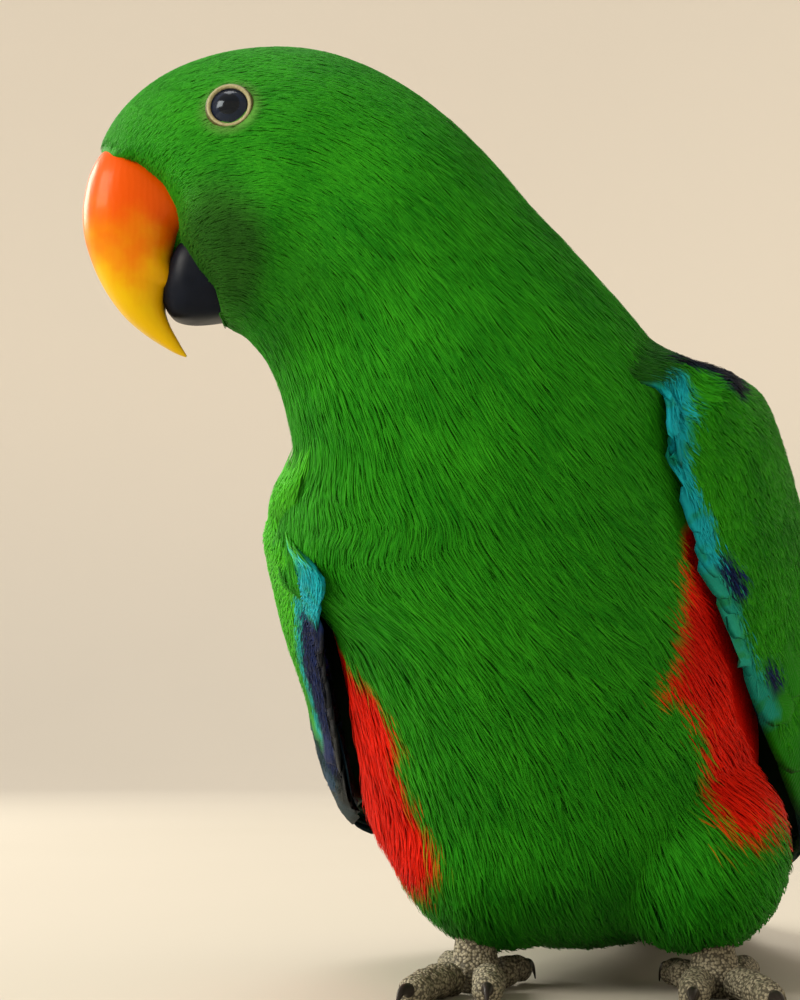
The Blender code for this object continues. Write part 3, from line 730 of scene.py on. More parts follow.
def horn_materials():
    """The upper bill, coral at its base and yellow to its tip and edges; the black lower bill; and
    the claws.
    """
    upper, tree, shader = new_material("upper bill horn", Roughness=0.36, Specular_IOR_Level=0.2,
                                       Specular_Tint=(1.0, 0.72, 0.3, 1.0), Coat_Weight=0.1,
                                       Coat_Roughness=0.12)
    horn = attribute(tree, "horn")
    place = place_of(tree)
    cloud = noise(tree, place, 160.0, 3.0)
    run = maths(tree, "MULTIPLY_ADD", maths(tree, "SUBTRACT", cloud, 0.5), 0.35, horn[0])
    body = mix_colour(tree, ramp(tree, run, 0.22, 0.5), colour(232, 84, 2), colour(230, 124, 2))
    body = mix_colour(tree, ramp(tree, run, 0.4, 0.72), body, colour(230, 186, 2))
    edge = maths(tree, "MULTIPLY_ADD", maths(tree, "SUBTRACT", cloud, 0.5), 0.3, horn[1])
    edge = maths(tree, "MULTIPLY", ramp(tree, edge, 0.62, 1.0), ramp(tree, run, 0.3, 0.6))
    body = mix_colour(tree, edge, body, colour(228, 172, 6))
    paint(tree, shader, body)
    grown = wire(tree, "TexWave", {"Vector": place, "Scale": 260.0, "Distortion": 5.0, "Detail": 2.0})
    raise_bumps(tree, shader, maths(tree, "ADD", grown.outputs["Fac"], cloud), 0.04, 0.0003)
    dark = []
    for name, low, high in (("lower bill horn", colour(8, 14, 24), colour(18, 24, 38)),
                            ("claw horn", colour(28, 26, 25), colour(56, 50, 46))):
        made, tree, shader = new_material(name, Roughness=0.4, Specular_IOR_Level=0.1)
        place = place_of(tree)
        cloud = noise(tree, place, 260.0, 4.0, 0.6)
        paint(tree, shader, mix_colour(tree, cloud, low, high))
        tree.links.new(remap(tree, cloud, 0.2, 0.8, 0.28, 0.46), shader.inputs["Roughness"])
        raise_bumps(tree, shader, cloud, 0.15, 0.0003)
        dark.append(made)
    return upper, *dark


def eye_materials():
    """The wet dark eye, with a paler ring round the pupil, and the beaded skin of the lids."""
    ball, tree, shader = new_material("eye", Roughness=0.13, Specular_IOR_Level=0.32,
                                      Specular_Tint=(0.75, 0.88, 1.0, 1.0))
    ring = attribute(tree, "horn")
    cloud = noise(tree, place_of(tree), 700.0, 3.0)
    iris = mix_colour(tree, cloud, colour(12, 20, 38), colour(26, 36, 58))
    body = mix_colour(tree, ramp(tree, ring[0], 0.5, 0.58), colour(5, 8, 16), iris)
    paint(tree, shader, body)
    lid, tree, shader = new_material("eyelid skin", Roughness=0.55, Subsurface_Weight=0.1,
                                     Subsurface_Radius=(0.001, 0.0006, 0.0004))
    ring = attribute(tree, "horn")
    place = place_of(tree)
    cloud = noise(tree, place, 900.0, 3.0)
    body = mix_colour(tree, cloud, colour(150, 144, 102), colour(188, 182, 138))
    body = mix_colour(tree, ramp(tree, ring[0], 0.62, 0.8), body, colour(74, 72, 20))
    body = mix_colour(tree, ramp(tree, ring[0], 0.16, 0.04), body, colour(30, 26, 20))
    paint(tree, shader, body)
    cell = wire(tree, "TexVoronoi", {"Vector": place, "Scale": 1500.0})
    raise_bumps(tree, shader, cell.outputs["Distance"], 0.5, 0.0002, invert=True)
    return ball, lid


def foot_material():
    """Grey skin in raised round scales with dark lines between them."""
    made, tree, shader = new_material("scaled skin", Roughness=0.7, Specular_IOR_Level=0.35)
    place = place_of(tree)
    scute = wire(tree, "TexVoronoi", {"Vector": place, "Scale": 1450.0, "Randomness": 0.7})
    gap = ramp(tree, scute.outputs["Distance"], 0.4, 0.62)
    grain = noise(tree, place, 2600.0, 3.0)
    chance = wire(tree, "SeparateColor", {0: scute.outputs["Color"]}).outputs[0]
    body = mix_colour(tree, chance, colour(138, 132, 110), colour(176, 168, 144))
    body = mix_colour(tree, maths(tree, "MULTIPLY", grain, 0.4), body, colour(112, 104, 84))
    body = mix_colour(tree, gap, body, colour(80, 75, 61))
    paint(tree, shader, body)
    dome = maths(tree, "MULTIPLY_ADD", scute.outputs["Distance"], -1.4, maths(tree, "MULTIPLY", grain, 0.2))
    raise_bumps(tree, shader, dome, 0.8, 0.0004)
    return made


def floor_material():
    """Plain pale matt floor that glows softly away from the bird, paler where it curves up."""
    made, tree, shader = new_material("pale floor", Roughness=0.85, Specular_IOR_Level=0.2,
                                      Emission_Strength=0.24)
    made.cycles.emission_sampling = "NONE"
    place = place_of(tree)
    cloud = noise(tree, place, 3.0, 2.0)
    body = mix_colour(tree, cloud, colour(196, 189, 176), colour(202, 195, 183))
    height = wire(tree, "SeparateXYZ", {0: place}).outputs[2]
    body = mix_colour(tree, ramp(tree, height, 0.0, 0.9), body, colour(216, 207, 192))
    paint(tree, shader, body)
    away = wire(tree, "VectorMath", {0: place}, operation="LENGTH").outputs["Value"]
    glow = mix_colour(tree, ramp(tree, away, 0.4, 2.0), (0.0, 0.0, 0.0, 1.0), colour(255, 245, 229))
    tree.links.new(glow, shader.inputs["Emission Color"])
    return made


# Body

def body_marks_and_shade(at, angle, points):
    """Masks of the body at given rows and angles: red and olive markings, and painted shade."""
    degrees = np.degrees(angle) % 360.0
    left = np.where(degrees > 270.0, degrees - 360.0, degrees)
    edge_left = np.interp(at, RED_LEFT[:, 0], RED_LEFT[:, 1], left=-90.0, right=-90.0)
    edge_right = np.interp(at, RED_RIGHT[:, 0], RED_RIGHT[:, 1], left=290.0, right=290.0)
    red = np.maximum(ease(3.0, -2.0, left - edge_left) * ease(*RED_BACK[1], left),
                     ease(-3.0, 2.0, degrees - edge_right) * ease(*RED_BACK[-1], degrees))
    # Painted shade on the cheek and throat.
    cheek = ease(3.2, 4.8, at) * ease(8.2, 6.6, at)
    cheek = cheek * ease(98.0, 124.0, degrees) * ease(178, 150, degrees)
    # Painted shade on the underside by the vent.
    vent = ease(15.0, 17.5, at) * ease(25.0, 60.0, degrees) * ease(155.0, 120.0, degrees)
    # Painted shade in the hollow between the neck and the left wing.
    hollow = window(at, 9.78, 10.3, 0.1) * window(left, -20.0, 24.0, 5.0)
    # Painted shade low on the belly between the legs.
    under = ease(13.2, 13.9, at) * window(degrees, 62.0, 125.0, 14.0)
    # Painted shade under and behind the lower bill, which also gives some olive tint.
    chin = ease(*CHIN_RING, np.hypot(points[..., 0] - CHIN[0], (points[..., 2] - CHIN[1]) / CHIN_TALL))
    shade = np.clip(0.5 * cheek + 0.3 * vent + 0.75 * hollow + 0.42 * under, 0.0, 1.0)
    shade = np.clip(shade + 0.9 * chin, 0.0, 1.0)
    olive = 0.35 * chin
    for hand in HANDS.values():
        out, ahead = from_eye(points, hand)
        olive += ease(*OLIVE_RING, out) * ahead
    return np.stack([red, shade, np.clip(olive, 0.0, 1.0)], -1)


def eye_frame(hand):
    """The middle of one eyeball and the way it looks: sideways, a little forward and up."""
    middle = np.array([EYE_MIDDLE[0], HEAD_PLANE - hand * EYE_OUT, EYE_MIDDLE[1]])
    return middle, unit(np.array([EYE_TURN[0], -hand, EYE_TURN[1]]))


def from_eye(points, hand):
    """How far points lie from the line along which one eye looks, and whether they lie ahead of it."""
    middle, look = eye_frame(hand)
    away = points - middle
    ahead = away @ look
    return np.linalg.norm(away - ahead[..., None] * look, axis=-1), ahead > 0


def build_skin(material):
    """One closed skin from the bill to the root of the tail: rings of skin_point."""
    at = np.concatenate([np.linspace(*stretch) for stretch in SKIN_ROWS])[:, None]
    angle = np.linspace(0.0, TURN, SKIN_AROUND, endpoint=False)[None, :]
    at, angle = np.broadcast_arrays(at, angle)
    rings = skin_point(at, angle)
    rings[..., 2] = np.maximum(rings[..., 2], SKIN_FLOOR)
    piece = add_tube("skin", rings, material)
    add_ring_attribute(piece, "marks_and_shade", body_marks_and_shade(at, angle, rings))
    # The skin is painted paler, less so by the bill: painted light that lifts the shade seen between the
    # strands.
    painted_light = 0.3 + 0.7 * ease(0.8, 2.2, at)
    add_ring_attribute(piece, "strand", np.stack([painted_light, 0 * painted_light, painted_light], -1))
    finish_piece(piece, "green_plumage", "head", "neck", "breast", "belly", "tail_coverts",
                 "thigh_left", "thigh_right")


def bill_rings(rows, count, around):
    """One half of the bill: slices between an outer and an inner edge, swollen to a half width. The
    inner edge of the upper half has a notch, as a step after a low rise.
    """
    at = np.linspace(0, len(rows) - 1, count)
    outer_x, outer_z, inner_x, inner_z, half = along(rows, at).T[..., None]
    if len(rows) == len(UPPER_BILL):
        inner_x = inner_x + (NOTCH_RISE * ease(4.2, 5.2, at) * ease(5.75, 5.5, at))[:, None]
    angle = np.linspace(0.0, TURN, around, endpoint=False)[None, :]
    mix = 0.5 + 0.5 * np.cos(angle)
    x = inner_x + (outer_x - inner_x) * mix
    z = inner_z + (outer_z - inner_z) * mix
    power = np.where(mix > 0.5, 0.8, 0.45) if len(rows) == len(UPPER_BILL) else 0.55
    bulge = np.sign(np.sin(angle)) * np.abs(np.sin(angle)) ** power
    return np.stack([x, HEAD_PLANE + half * bulge, z], -1), at, mix


def bill_clearance(points):
    """How far points lie outside the bill's two halves: the distance to the nearest of its ring
    points, or, close to the bill, its part along the way out from the middle of that ring.
    """
    clear = np.full(len(points), 50.0)
    near = np.flatnonzero(points[:, 0] < -22.0)
    for rows in (UPPER_BILL, LOWER_BILL):
        rings, _, _ = bill_rings(rows, 28, 28)
        out = unit(rings - rings.mean(1, keepdims=True)).reshape(-1, 3)
        rings = rings.reshape(-1, 3)
        for chunk in np.array_split(near, max(len(near) // 2000, 1)):
            gap = points[chunk, None, :] - rings[None, :, :]
            best = (gap ** 2).sum(-1).argmin(1)
            side = np.take_along_axis(gap, best[:, None, None], 1)[:, 0]
            far = np.linalg.norm(side, axis=-1)
            clear[chunk] = np.minimum(clear[chunk], np.where(far > 10.0, far, (side * out[best]).sum(-1)))
    return clear


def bare(at, angle, points):
    """0 where no strand grows, on the bill, the lids and deep under the folded wings, and 1 elsewhere."""
    open_skin = (bill_clearance(points.reshape(-1, 3)) > 0.25).reshape(at.shape).astype(float)
    low, high = wing_edges(at)
    rows = (at > UNDER_WING_ROWS[0]) & (at < UNDER_WING_ROWS[1])
    for hand in HANDS.values():
        out, ahead = from_eye(points, hand)
        lift = wing_lift(angle, hand)
        covered = rows & (lift > low + UNDER_WING_INSET[0]) & (lift < high - UNDER_WING_INSET[1])
        open_skin *= ((out > LID_BARE) | ~ahead) & ~covered
    return open_skin


def scatter(rng, surface, weight, rows, turns):
    """Rows and angles of strand roots: cells of a fine grid are picked by their area times weight."""
    at, angle = (np.linspace(*ends, cells + 1) for ends, cells in zip((rows, turns), ROOT_CELLS))
    points = surface(*np.broadcast_arrays(at[:, None], angle[None, :]))
    down, over = points[1:, :-1] - points[:-1, :-1], points[:-1, 1:] - points[:-1, :-1]
    size = np.linalg.norm(np.cross(down, over), axis=-1)
    cell_at, cell_angle = np.broadcast_arrays(at[:-1, None], angle[None, :-1])
    total = np.cumsum((size * weight(cell_at, cell_angle, points[:-1, :-1])).ravel())
    count = int(total[-1] / (1))
    pick = np.searchsorted(total, (np.arange(count) + rng.random(count)) / count * total[-1])
    row, turn = np.divmod(np.minimum(pick, size.size - 1), size.shape[1])
    return (at[row] + rng.random(count) * (at[1] - at[0]),
            angle[turn] + rng.random(count) * (angle[1] - angle[0]))


def map_places(at, rows, angle, turns):
    """Places on the OFBake map: the rows along it and the angles across it, inside a thin margin."""
    along_it = (at - rows[0]) / (rows[1] - rows[0])
    across_it = (angle - turns[0]) / (turns[1] - turns[0])
    return np.stack([along_it, across_it], -1) * 0.98 + 0.01


def trace(surface, at, angle, heading, steps, heights, sign=1):
    """Follows a surface from each root. Every step goes on along the row way, turned by heading
    toward larger angles, and is rescaled to its length. Gives the points, ways out, ways on, and
    rows and angles. The sign is -1 where rows, angles and the way out make a left-handed set.
    """
    turn = 0.02
    points, outs, ways, spots = [], [], [], []
    for step, height in zip(steps, heights):
        gap = np.interp(at, (5.0, 9.0), (0.05, 0.15))
        here = surface(at, angle)
        down = (surface(at + gap, angle) - surface(at - gap, angle)) / (2 * gap)[:, None]
        over = (surface(at, angle + turn) - surface(at, angle - turn)) / (2 * turn)
        out = sign * unit(np.cross(over, down))
        long_down = np.maximum(np.linalg.norm(down, axis=-1), 3.0)
        long_over = np.maximum(np.linalg.norm(over, axis=-1), 3.0)
        way = unit(np.cos(heading)[:, None] * unit(down) + np.sin(heading)[:, None] * unit(over))
        points.append(here + out * height[:, None])
        outs.append(out)
        ways.append(way)
        spots.append(np.stack([at, angle], -1))
        row_step = step * np.cos(heading) / long_down
        turn_step = step * np.sin(heading) / long_over
        chord = np.linalg.norm(surface(at + row_step, angle + turn_step) - here, axis=-1)
        scale = np.clip(step / np.maximum(chord, 1e-3), 0.3, 1.6)
        at = at + row_step * scale
        angle = angle + turn_step * scale
    return np.stack(points, 1), np.stack(outs, 1), np.stack(ways, 1), np.stack(spots, 1)


def add_strands(name, points, outs, ways, width, marks_and_shade, chance, places, material, slot):
    """Closed spindles with a flat three-sided section: a root, one or two rings of three and a tip
    each. Their map is a small patch at the root's place.
    """
    count, nodes, _ = points.shape
    rings = nodes - 2
    across = unit(np.cross(ways, outs))
    half = width[:, None, None] * np.array([1.0, STRAND_TAPER])[None, :rings, None]
    inner, side, up = points[:, 1:-1], across[:, 1:-1], outs[:, 1:-1]
    lift = up * (STRAND_THICK * half)
    ring = np.stack([inner + side * half, inner + lift, inner - side * half], 2)
    verts = np.concatenate([points[:, :1], ring.reshape(count, rings * 3, 3), points[:, -1:]], 1)
    each = verts.shape[1]
    base = np.arange(count)[:, None, None] * each
    turn = np.array([1, 2, 0])
    step = np.arange(3)
    start = np.stack([np.zeros(3, int), 1 + step, 1 + turn], -1)
    last = 1 + (rings - 1) * 3
    end = np.stack([np.full(3, each - 1), last + turn, last + step], -1)
    fans = (base + np.concatenate([start, end])[None]).reshape(-1, 3)
    faces = [fans]
    if rings > 1:
        low = 1 + np.arange(rings - 1)[:, None] * 3
        quads = np.stack([low + step, low + 3 + step, low + 3 + turn, low + turn], -1).reshape(-1, 4)
        faces.append((base + quads[None]).reshape(-1, 4))
    piece = make_mesh(name, verts, faces, material, smooth=False)
    share = np.concatenate([[0.0], np.repeat(np.linspace(0.0, 1.0, nodes)[1:-1], 3), [1.0]])
    sideways = np.concatenate([[0.0], np.tile((1.0, 0.0, -1.0), rings), [0.0]])
    strand = np.stack(np.broadcast_arrays(share[None, :], sideways[None, :], chance[:, None]), -1)
    add_attribute(piece, "strand", strand)
    add_attribute(piece, "marks_and_shade", np.repeat(marks_and_shade, [1] + [3] * rings + [1], axis=1))
    patch = np.stack([share, 0.5 * sideways], -1) * STRAND_PATCH
    add_uv(piece, (places[:, None, :] + patch[None]).reshape(-1, 2))
    finish_piece(piece, slot)


def build_coat(material):
    """The strands of every coat piece, with bundles that lean and lift together. They swirl on the
    front of the body only, most on the bird's left.
    """
    for seed, (name, (rows, turns, rings)) in enumerate(COAT.items()):
        rng = np.random.default_rng(100 + seed)
        turns = np.radians(turns)
        surface = coat_point if name in BESIDE_WINGS else skin_point
        at, angle = scatter(rng, surface, lambda a, b, c: lie(a, 4) * bare(a, b, c), rows, turns)
        count = len(at)
        root = surface(at, angle)
        bundle = ripple(root, 9.0, 7) + 0.6 * ripple(root, 4.0, 8)
        degrees = np.degrees(angle) % 360.0
        front = ease(-40.0, 50.0, np.where(degrees > 270, degrees - 360, degrees)) * ease(215, 130, degrees)
        heading = (lie(at, 5) * np.where(lie(at, 5) < -0.03, front, 1.0)
                   + lie(at, 6) * (0.5 * rng.normal(size=count) + ripple(root, 8.0, 11)))
        size = lie(at, 2) * (0.75 + 0.5 * rng.random(count))
        shares, rises, uneven = STRAND_RUN[rings]
        steps = [size * gap for gap in np.diff(shares)] + [0 * size]
        lift = lie(at, 1) * (0.85 + uneven * bundle + uneven * rng.normal(size=count)) + 0.1
        points, outs, ways, spots = trace(surface, at, angle, heading, steps, [lift * r for r in rises])
        points[..., 2] = np.maximum(points[..., 2], COAT_FLOOR)
        spots = spots + (0.05, 0.03) * rng.normal(size=(count, 1, 2))
        marks_and_shade = body_marks_and_shade(spots[..., 0], spots[..., 1], points)
        chance = np.clip(0.5 + 0.22 * rng.normal(size=count) + 0.12 * bundle, 0.0, 1.0)
        places = map_places(at, rows, angle, turns)
        half = lie(at, 3) * (0.8 + 0.4 * rng.random(count))
        add_strands(name, points, outs, ways, half, marks_and_shade, chance, places, material, "green_plumage")


# Wings and tail

def vane_grid(steps, across):
    """The outline of a vane: shares of its length, and its half width there, with a round tip."""
    share = 1.0 - (1.0 - np.linspace(0.0, 1.0, steps)) ** 1.25
    root = np.minimum(1.0, (share / 0.22 + 0.15) ** 0.6)
    tip = np.clip((share - 0.5) / 0.5, 0.0, None) ** 3.2
    width = root * np.sqrt(np.clip(1.0 - tip, 0.0, 1.0))
    return share, np.maximum(width, 0.03), np.linspace(-1.0, 1.0, across)


def add_vanes(name, place, tone_of, chance, places, material, slot, nodes=(), thick=0.14,
              steps=7, across=5, flip=False):
    """Closed thin vanes. place(share, side) gives the middle sheet's points and ways out, and its
    rows and shares of the wing, for every feather at once; a top and a bottom sheet lie half the
    thickness off it and meet at the edge. tone_of(rows, shares) gives the colour masks.
    """
    share, width, side = vane_grid(steps, across)
    points, outs, rows, spots = place(share, width, side)
    count = points.shape[0]
    crown = (1.0 - side ** 2)[None, None, :, None]
    top = points + outs * (thick * crown + 0.03)
    low = points[:, :, 1:-1] - outs[:, :, 1:-1] * 0.5 * thick * crown[:, :, 1:-1]
    verts = np.concatenate([top.reshape(count, -1, 3), low.reshape(count, -1, 3)], 1)
    each = verts.shape[1]
    row = np.arange(steps)[:, None]
    upper = row * across + np.arange(across)[None, :]
    under = upper.copy()
    under[:, 1:-1] = steps * across + row * (across - 2) + np.arange(across - 2)[None, :]
    top_quads = np.stack([upper[:-1, :-1], upper[:-1, 1:], upper[1:, 1:], upper[1:, :-1]], -1)
    low_quads = np.stack([under[:-1, :-1], under[1:, :-1], under[1:, 1:], under[:-1, 1:]], -1)
    ends = []
    for k, turned in ((0, True), (steps - 1, False)):
        cap = np.concatenate([upper[k], under[k, 1:-1][::-1]])
        ends.append(cap[::-1] if turned else cap)
    quads = np.concatenate([top_quads.reshape(-1, 4), low_quads.reshape(-1, 4)])
    base = np.arange(count)[:, None, None] * each
    faces = [(base + quads[None]).reshape(-1, 4), (base + np.stack(ends)[None]).reshape(count * 2, -1)]
    if flip:
        faces = [f[:, ::-1] for f in faces]
    piece = make_mesh(name, verts, faces, material)

    def both(grid):
        return np.concatenate([grid.reshape(count, -1, 3), grid[:, :, 1:-1].reshape(count, -1, 3)], 1)

    run, wide = np.meshgrid(share, side, indexing="ij")
    strand = np.stack(np.broadcast_arrays(run[None], wide[None], chance[:, None, None]), -1)
    add_attribute(piece, "strand", both(strand))
    shift = chance[:, None, None] - 0.5
    add_attribute(piece, "marks_and_shade", both(tone_of(rows + 0.12 * shift, spots + 0.02 * shift)))
    patch = np.stack([(run - 0.5) * 0.02, wide * 0.01, 0 * run], -1)
    add_uv(piece, (places[:, None, :] + both(np.tile(patch, (count, 1, 1, 1)))[..., :2]).reshape(-1, 2))
    finish_piece(piece, slot, *nodes)


def cover_point(at, share, depth, hand):
    """A point of the wing that runs on over the shoulder: ahead of the wing's front edge, and at the
    upper corner, it eases down to the body's own surface.
    """
    start = np.interp(at, EDGE_ROWS[hand], EDGE_START[hand])
    share = start + (1.0 - start) * share
    wing = wing_point(at, share, depth, hand)
    wide = np.interp(at, SHOULDER_ROWS[hand], SHOULDER_WIDE[hand])
    body = skin_point(at, wing_angle(at, share, hand), lie(at, 1) + 0.2 - 0.9 * ease(0.45, 0.0, wide))
    corner = ease(0.35 if hand > 0 else 0.75, 1.0, share) * ease(11.1, 10.3, at)
    wide = wide * (1.0 - 0.85 * corner)
    return body + (wing - body) * wide[..., None]


def wing_edges(at):
    """A wing's lower and upper edge in degrees up from its own side of the body."""
    return [np.interp(at, WING[:, 0], WING[:, k]) for k in (1, 2)]


def wing_angle(at, share, hand):
    """The angle round the body of a share of the way from a wing's lower to its upper edge."""
    low, high = wing_edges(at)
    lift = np.radians(low + (high - low) * share)
    return -lift if hand > 0 else np.pi + lift


def wing_lift(angle, hand):
    """An angle round the body as degrees up from one wing's own side."""
    degrees = np.degrees(angle) % 360.0
    return np.where(degrees > 180.0, 360.0 - degrees, -degrees) if hand > 0 else degrees - 180.0


def coat_point(at, angle, height=0.0):
    """The surface that the coat lies on: the skin's, drawn out to the wings' upper edges and to the
    right wing's front edge, so that no hollow is left beside them. It is never drawn inward, and
    beside the front edge it follows the mean of nearby rows.
    """
    point = skin_point(at, angle, height)
    out = unit(point - along(SPINE, at)[..., :3])
    drawn, weights = np.zeros_like(point), np.zeros(point.shape[:-1])
    for hand in HANDS.values():
        lift = wing_lift(angle, hand)
        low, high = wing_edges(at)
        upper = ease(50.0, 0.0, lift - high) * ease(-45.0, -20.0, lift - high)
        upper = upper * ease(9.9, 10.5, at) * ease(16.0, 14.0, at)
        parts = [(upper, 1.0, (0.0,))]
        if hand < 0:
            front = ease(-45.0, 0.0, lift - low) * ease(50.0, 25.0, lift - low)
            front = front * ease(9.0, 9.8, at) * ease(11.5, 10.8, at)
            parts.append((front, MEETING_SHARE, MEETING_ROWS))
        for weight, share, shifts in parts:
            for shift in shifts:
                rows = at + shift
                base = skin_point(rows, wing_angle(rows, share, hand), lie(rows, 1))
                gap = cover_point(rows, np.full_like(at, share), 0.0, hand) - base
                gap -= np.minimum((gap * out).sum(-1), 0.0)[..., None] * out
                drawn += (weight / len(shifts))[..., None] * gap
            weights += weight
    return point + drawn / np.maximum(weights, 1.0)[..., None]


def wing_place(hand, start, end, low, high, width, base, rise, arch):
    """The sheet of many wing feathers. Each runs from a start row and share to an end row and
    share, is as wide as given, and climbs from its base height by rise to its tip.
    """
    def place(share, half, side):
        at = start[:, None] + (end - start)[:, None] * share[None, :]
        mid = low[:, None] + (high - low)[:, None] * share[None, :]
        tiny = 1e-3
        here = cover_point(at, mid, 0.0, hand)
        over = np.linalg.norm(cover_point(at, mid + tiny, 0.0, hand) - here, axis=-1) / tiny
        wide = (width[:, None] * half[None, :] / np.maximum(over, 12.0))[..., None] * side
        rows = np.broadcast_to(at[..., None], wide.shape)
        spots = mid[..., None] + wide
        sheet = cover_point(rows, spots, 0.0, hand)
        down = cover_point(rows + tiny, spots, 0.0, hand) - sheet
        up = cover_point(rows, spots + tiny, 0.0, hand) - sheet
        out = unit(np.cross(down, up)) * hand
        height = (base[:, None] + rise[:, None] * share[None, :])[..., None]
        height = height - arch * width[:, None, None] * side ** 2
        return sheet + out * height[..., None], out, rows, spots
    return place


def wing_marks_and_shade(at, share, hand):
    """Masks of a wing: turquoise along its front edge, navy in places behind that, and black, with
    painted shade over the left wing's shoulder beside the neck. The left wing has a dark band along
    its upper edge, and the right a navy stripe with a black edge.
    """
    if hand > 0:
        band = np.interp(at, BAND_ROWS, BAND_WIDE)
        blue = ease(1.15, 0.85, share / band) * window(at, 10.1, 11.7, 0.06)
        blue = np.maximum(blue, 0.5 * ease(0.012, 0.004, share) * window(at, 11.6, 13.3, 0.06))
        navy = np.maximum(window(at, 11.65, 12.1, 0.04) * window(share, 0.004, 0.045, 0.008),
                          window(at, 12.8, 13.1, 0.04) * window(share, 0.015, 0.05, 0.008))
        start = np.interp(at, EDGE_ROWS[hand], EDGE_START[hand])
        from_edge = start + (1.0 - start) * share - np.interp(at, (10.15, 10.3), (0.32, 0.39))
        top = window(at, 10.02, 10.68, 0.04) * window(from_edge, 0.0, 0.35, 0.02)
        # Black over the left shoulder, rows 9.75 to 10.12, is painted shade in the hollow by the neck.
        black = np.maximum(0.8 * top, 0.62 * window(at, 9.75, 10.12, 0.07))
        navy = np.maximum(navy, top)
        flight = ease(0.03, -0.03, share - 0.3) * ease(14.3, 14.9, at)
    else:
        blue = np.maximum(window(at, 10.42, 11.15, 0.06) * ease(0.16, 0.12, share),
                          0.75 * window(at, 11.1, 13.2, 0.08) * window(share, 0.11, 0.14, 0.01))
        navy = window(at, 11.13, 13.6, 0.05) * window(share, -0.1, 0.115, 0.01)
        edge = np.interp(at, (11.2, 11.6, 12.5, 13.5), (0.0, 0.015, 0.03, 0.05))
        black = 0.9 * window(at, 11.25, 14.0, 0.06) * ease(edge + 0.01, edge - 0.01, share)
        flight = ease(0.03, -0.03, share - 0.4) * ease(13.0, 13.5, at)
    navy = np.maximum(navy, 0.9 * flight)
    return np.stack([blue, navy, np.maximum(black, 0.25 * flight)], -1)


def add_wing_feathers(name, hand, rng, start, tip, spot, end_spot, form, material, slot, **rest):
    """One kind of wing feather: from start rows and shares to tip rows and end shares, with width,
    height at the root, rise to the tip and arch given by form.
    """
    rest.setdefault("tone_of", lambda rows, spots: wing_marks_and_shade(rows, spots, hand))
    map_start = rest.pop("map_start", 10.0)
    places = np.stack([(start - map_start) / 11, 0.05 + 0.9 * np.clip(spot, 0, 1)], -1)
    add_vanes(name, wing_place(hand, start, tip, spot, end_spot, *form), chance=rng.random(len(start)),
              places=places, material=material, slot=slot, flip=hand > 0, **rest)


def wing_base(name, hand, material):
    """The closed sheet under a wing's feathers, marked like them outside and black inside."""
    at = np.linspace(BASE_START[hand], 20.35, 110)[:, None]
    at, share = np.broadcast_arrays(at, np.linspace(0.0, 1.0, 48)[None, :])
    outer = cover_point(at, share, 0.12, hand)
    inner = cover_point(at, share, 0.75, hand)[:, ::-1]
    piece = add_tube(name + "_base", np.concatenate([outer, inner], 1), material, flip=hand > 0)
    marks_and_shade = wing_marks_and_shade(at, share, hand)
    marks_and_shade = np.concatenate([marks_and_shade, 0 * marks_and_shade + (0.0, 0.0, 0.92)], 1)
    add_ring_attribute(piece, "marks_and_shade", marks_and_shade)
    add_ring_attribute(piece, "strand", 0 * marks_and_shade + (0.25, 0.5, 0.3))
    finish_piece(piece, "wing_plumage")


def small_coverts(name, hand, material, rng):
    """Rows of small round-tipped feathers, each row half a feather aside from the row before."""
    rows, shares = [], []
    for k, at in enumerate(np.arange(COVERT_START, 12.7, 0.1)):
        many = int(54.0 * np.interp(at, (10.1, 10.6, 11.2, 12.5), (0.55, 1.0, 1.5, 1.9)) / 3.0)
        rows.append(np.full(many, at))
        shares.append((np.arange(many) + 0.5 * (k % 2) + 0.25) / many)
    start, spot = np.concatenate(rows), np.concatenate(shares)
    count = len(start)
    start = start + 0.03 * rng.normal(size=count)
    spot = spot + 0.008 * rng.normal(size=count)
    tip = np.clip(start + 0.42 + 0.22 * ease(11.0, 12.6, start), 10.2, 20.3)
    width = (2.1 + 1.3 * ease(10.8, 12.6, start)) * (0.9 + 0.2 * rng.random(count))
    form = (width, np.full(count, -0.25), np.full(count, 0.6), 0.07)
    add_wing_feathers(name + "_small_coverts", hand, rng, start, tip, spot, spot, form, material,
                      "wing_plumage", map_start=9.8, nodes=(name + "_coverts",))


def great_coverts(name, hand, material, rng):
    """Four rows of larger coverts over the roots of the flight feathers."""
    layers = []
    for at, many, length, width, base in GREAT_COVERTS:
        start = np.full(many, at) + 0.05 * rng.normal(size=many)
        layers.append(np.stack(np.broadcast_arrays(start, (np.arange(many) + 0.5) / many,
                                                   length, width, base), -1))
    start, spot, length, width, base = np.concatenate(layers).T
    form = (width, base, np.full(len(start), 0.7), 0.07)
    add_wing_feathers(name + "_great_coverts", hand, rng, start, start + length, spot, spot - 0.01, form,
                      material, "wing_plumage", steps=9, across=7)


def flight_feathers(name, hand, material, rng):
    """The green secondaries, and below them the navy primaries that run on to the wing's tip."""
    many = SECONDARIES
    spot = np.linspace(0.40, 1.0, many)
    tip = np.interp(spot, (0.4, 0.7, 1.0), (16.2, 17.9, 18.2))
    form = (np.full(many, 7.0), np.linspace(-0.7, -0.3, many), np.full(many, 0.8), 0.08)
    add_wing_feathers(name + "_long_secondaries", hand, rng, np.full(many, 13.9), tip, spot, spot - 0.02,
                      form, material, "wing_plumage", nodes=(name + "_secondaries",), steps=16, across=9)
    many = PRIMARIES
    spot, end_spot = np.linspace(0.02, 0.62, many), np.linspace(0.05, 0.5, many)
    form = (np.full(many, 5.5), np.linspace(-0.9, -0.5, many), np.full(many, 0.5), 0.08)
    add_wing_feathers(name + "_long_primaries", hand, rng, np.linspace(12.6, 14.2, many),
                      np.linspace(16.2, 20.35, many), spot, end_spot, form, material, "flight_feathers",
                      tone_of=lambda rows, spots: np.stack([0 * rows, 0.9 + 0 * rows, 0.25 + 0 * rows], -1),
                      nodes=(name + "_primaries",), steps=18, across=9)


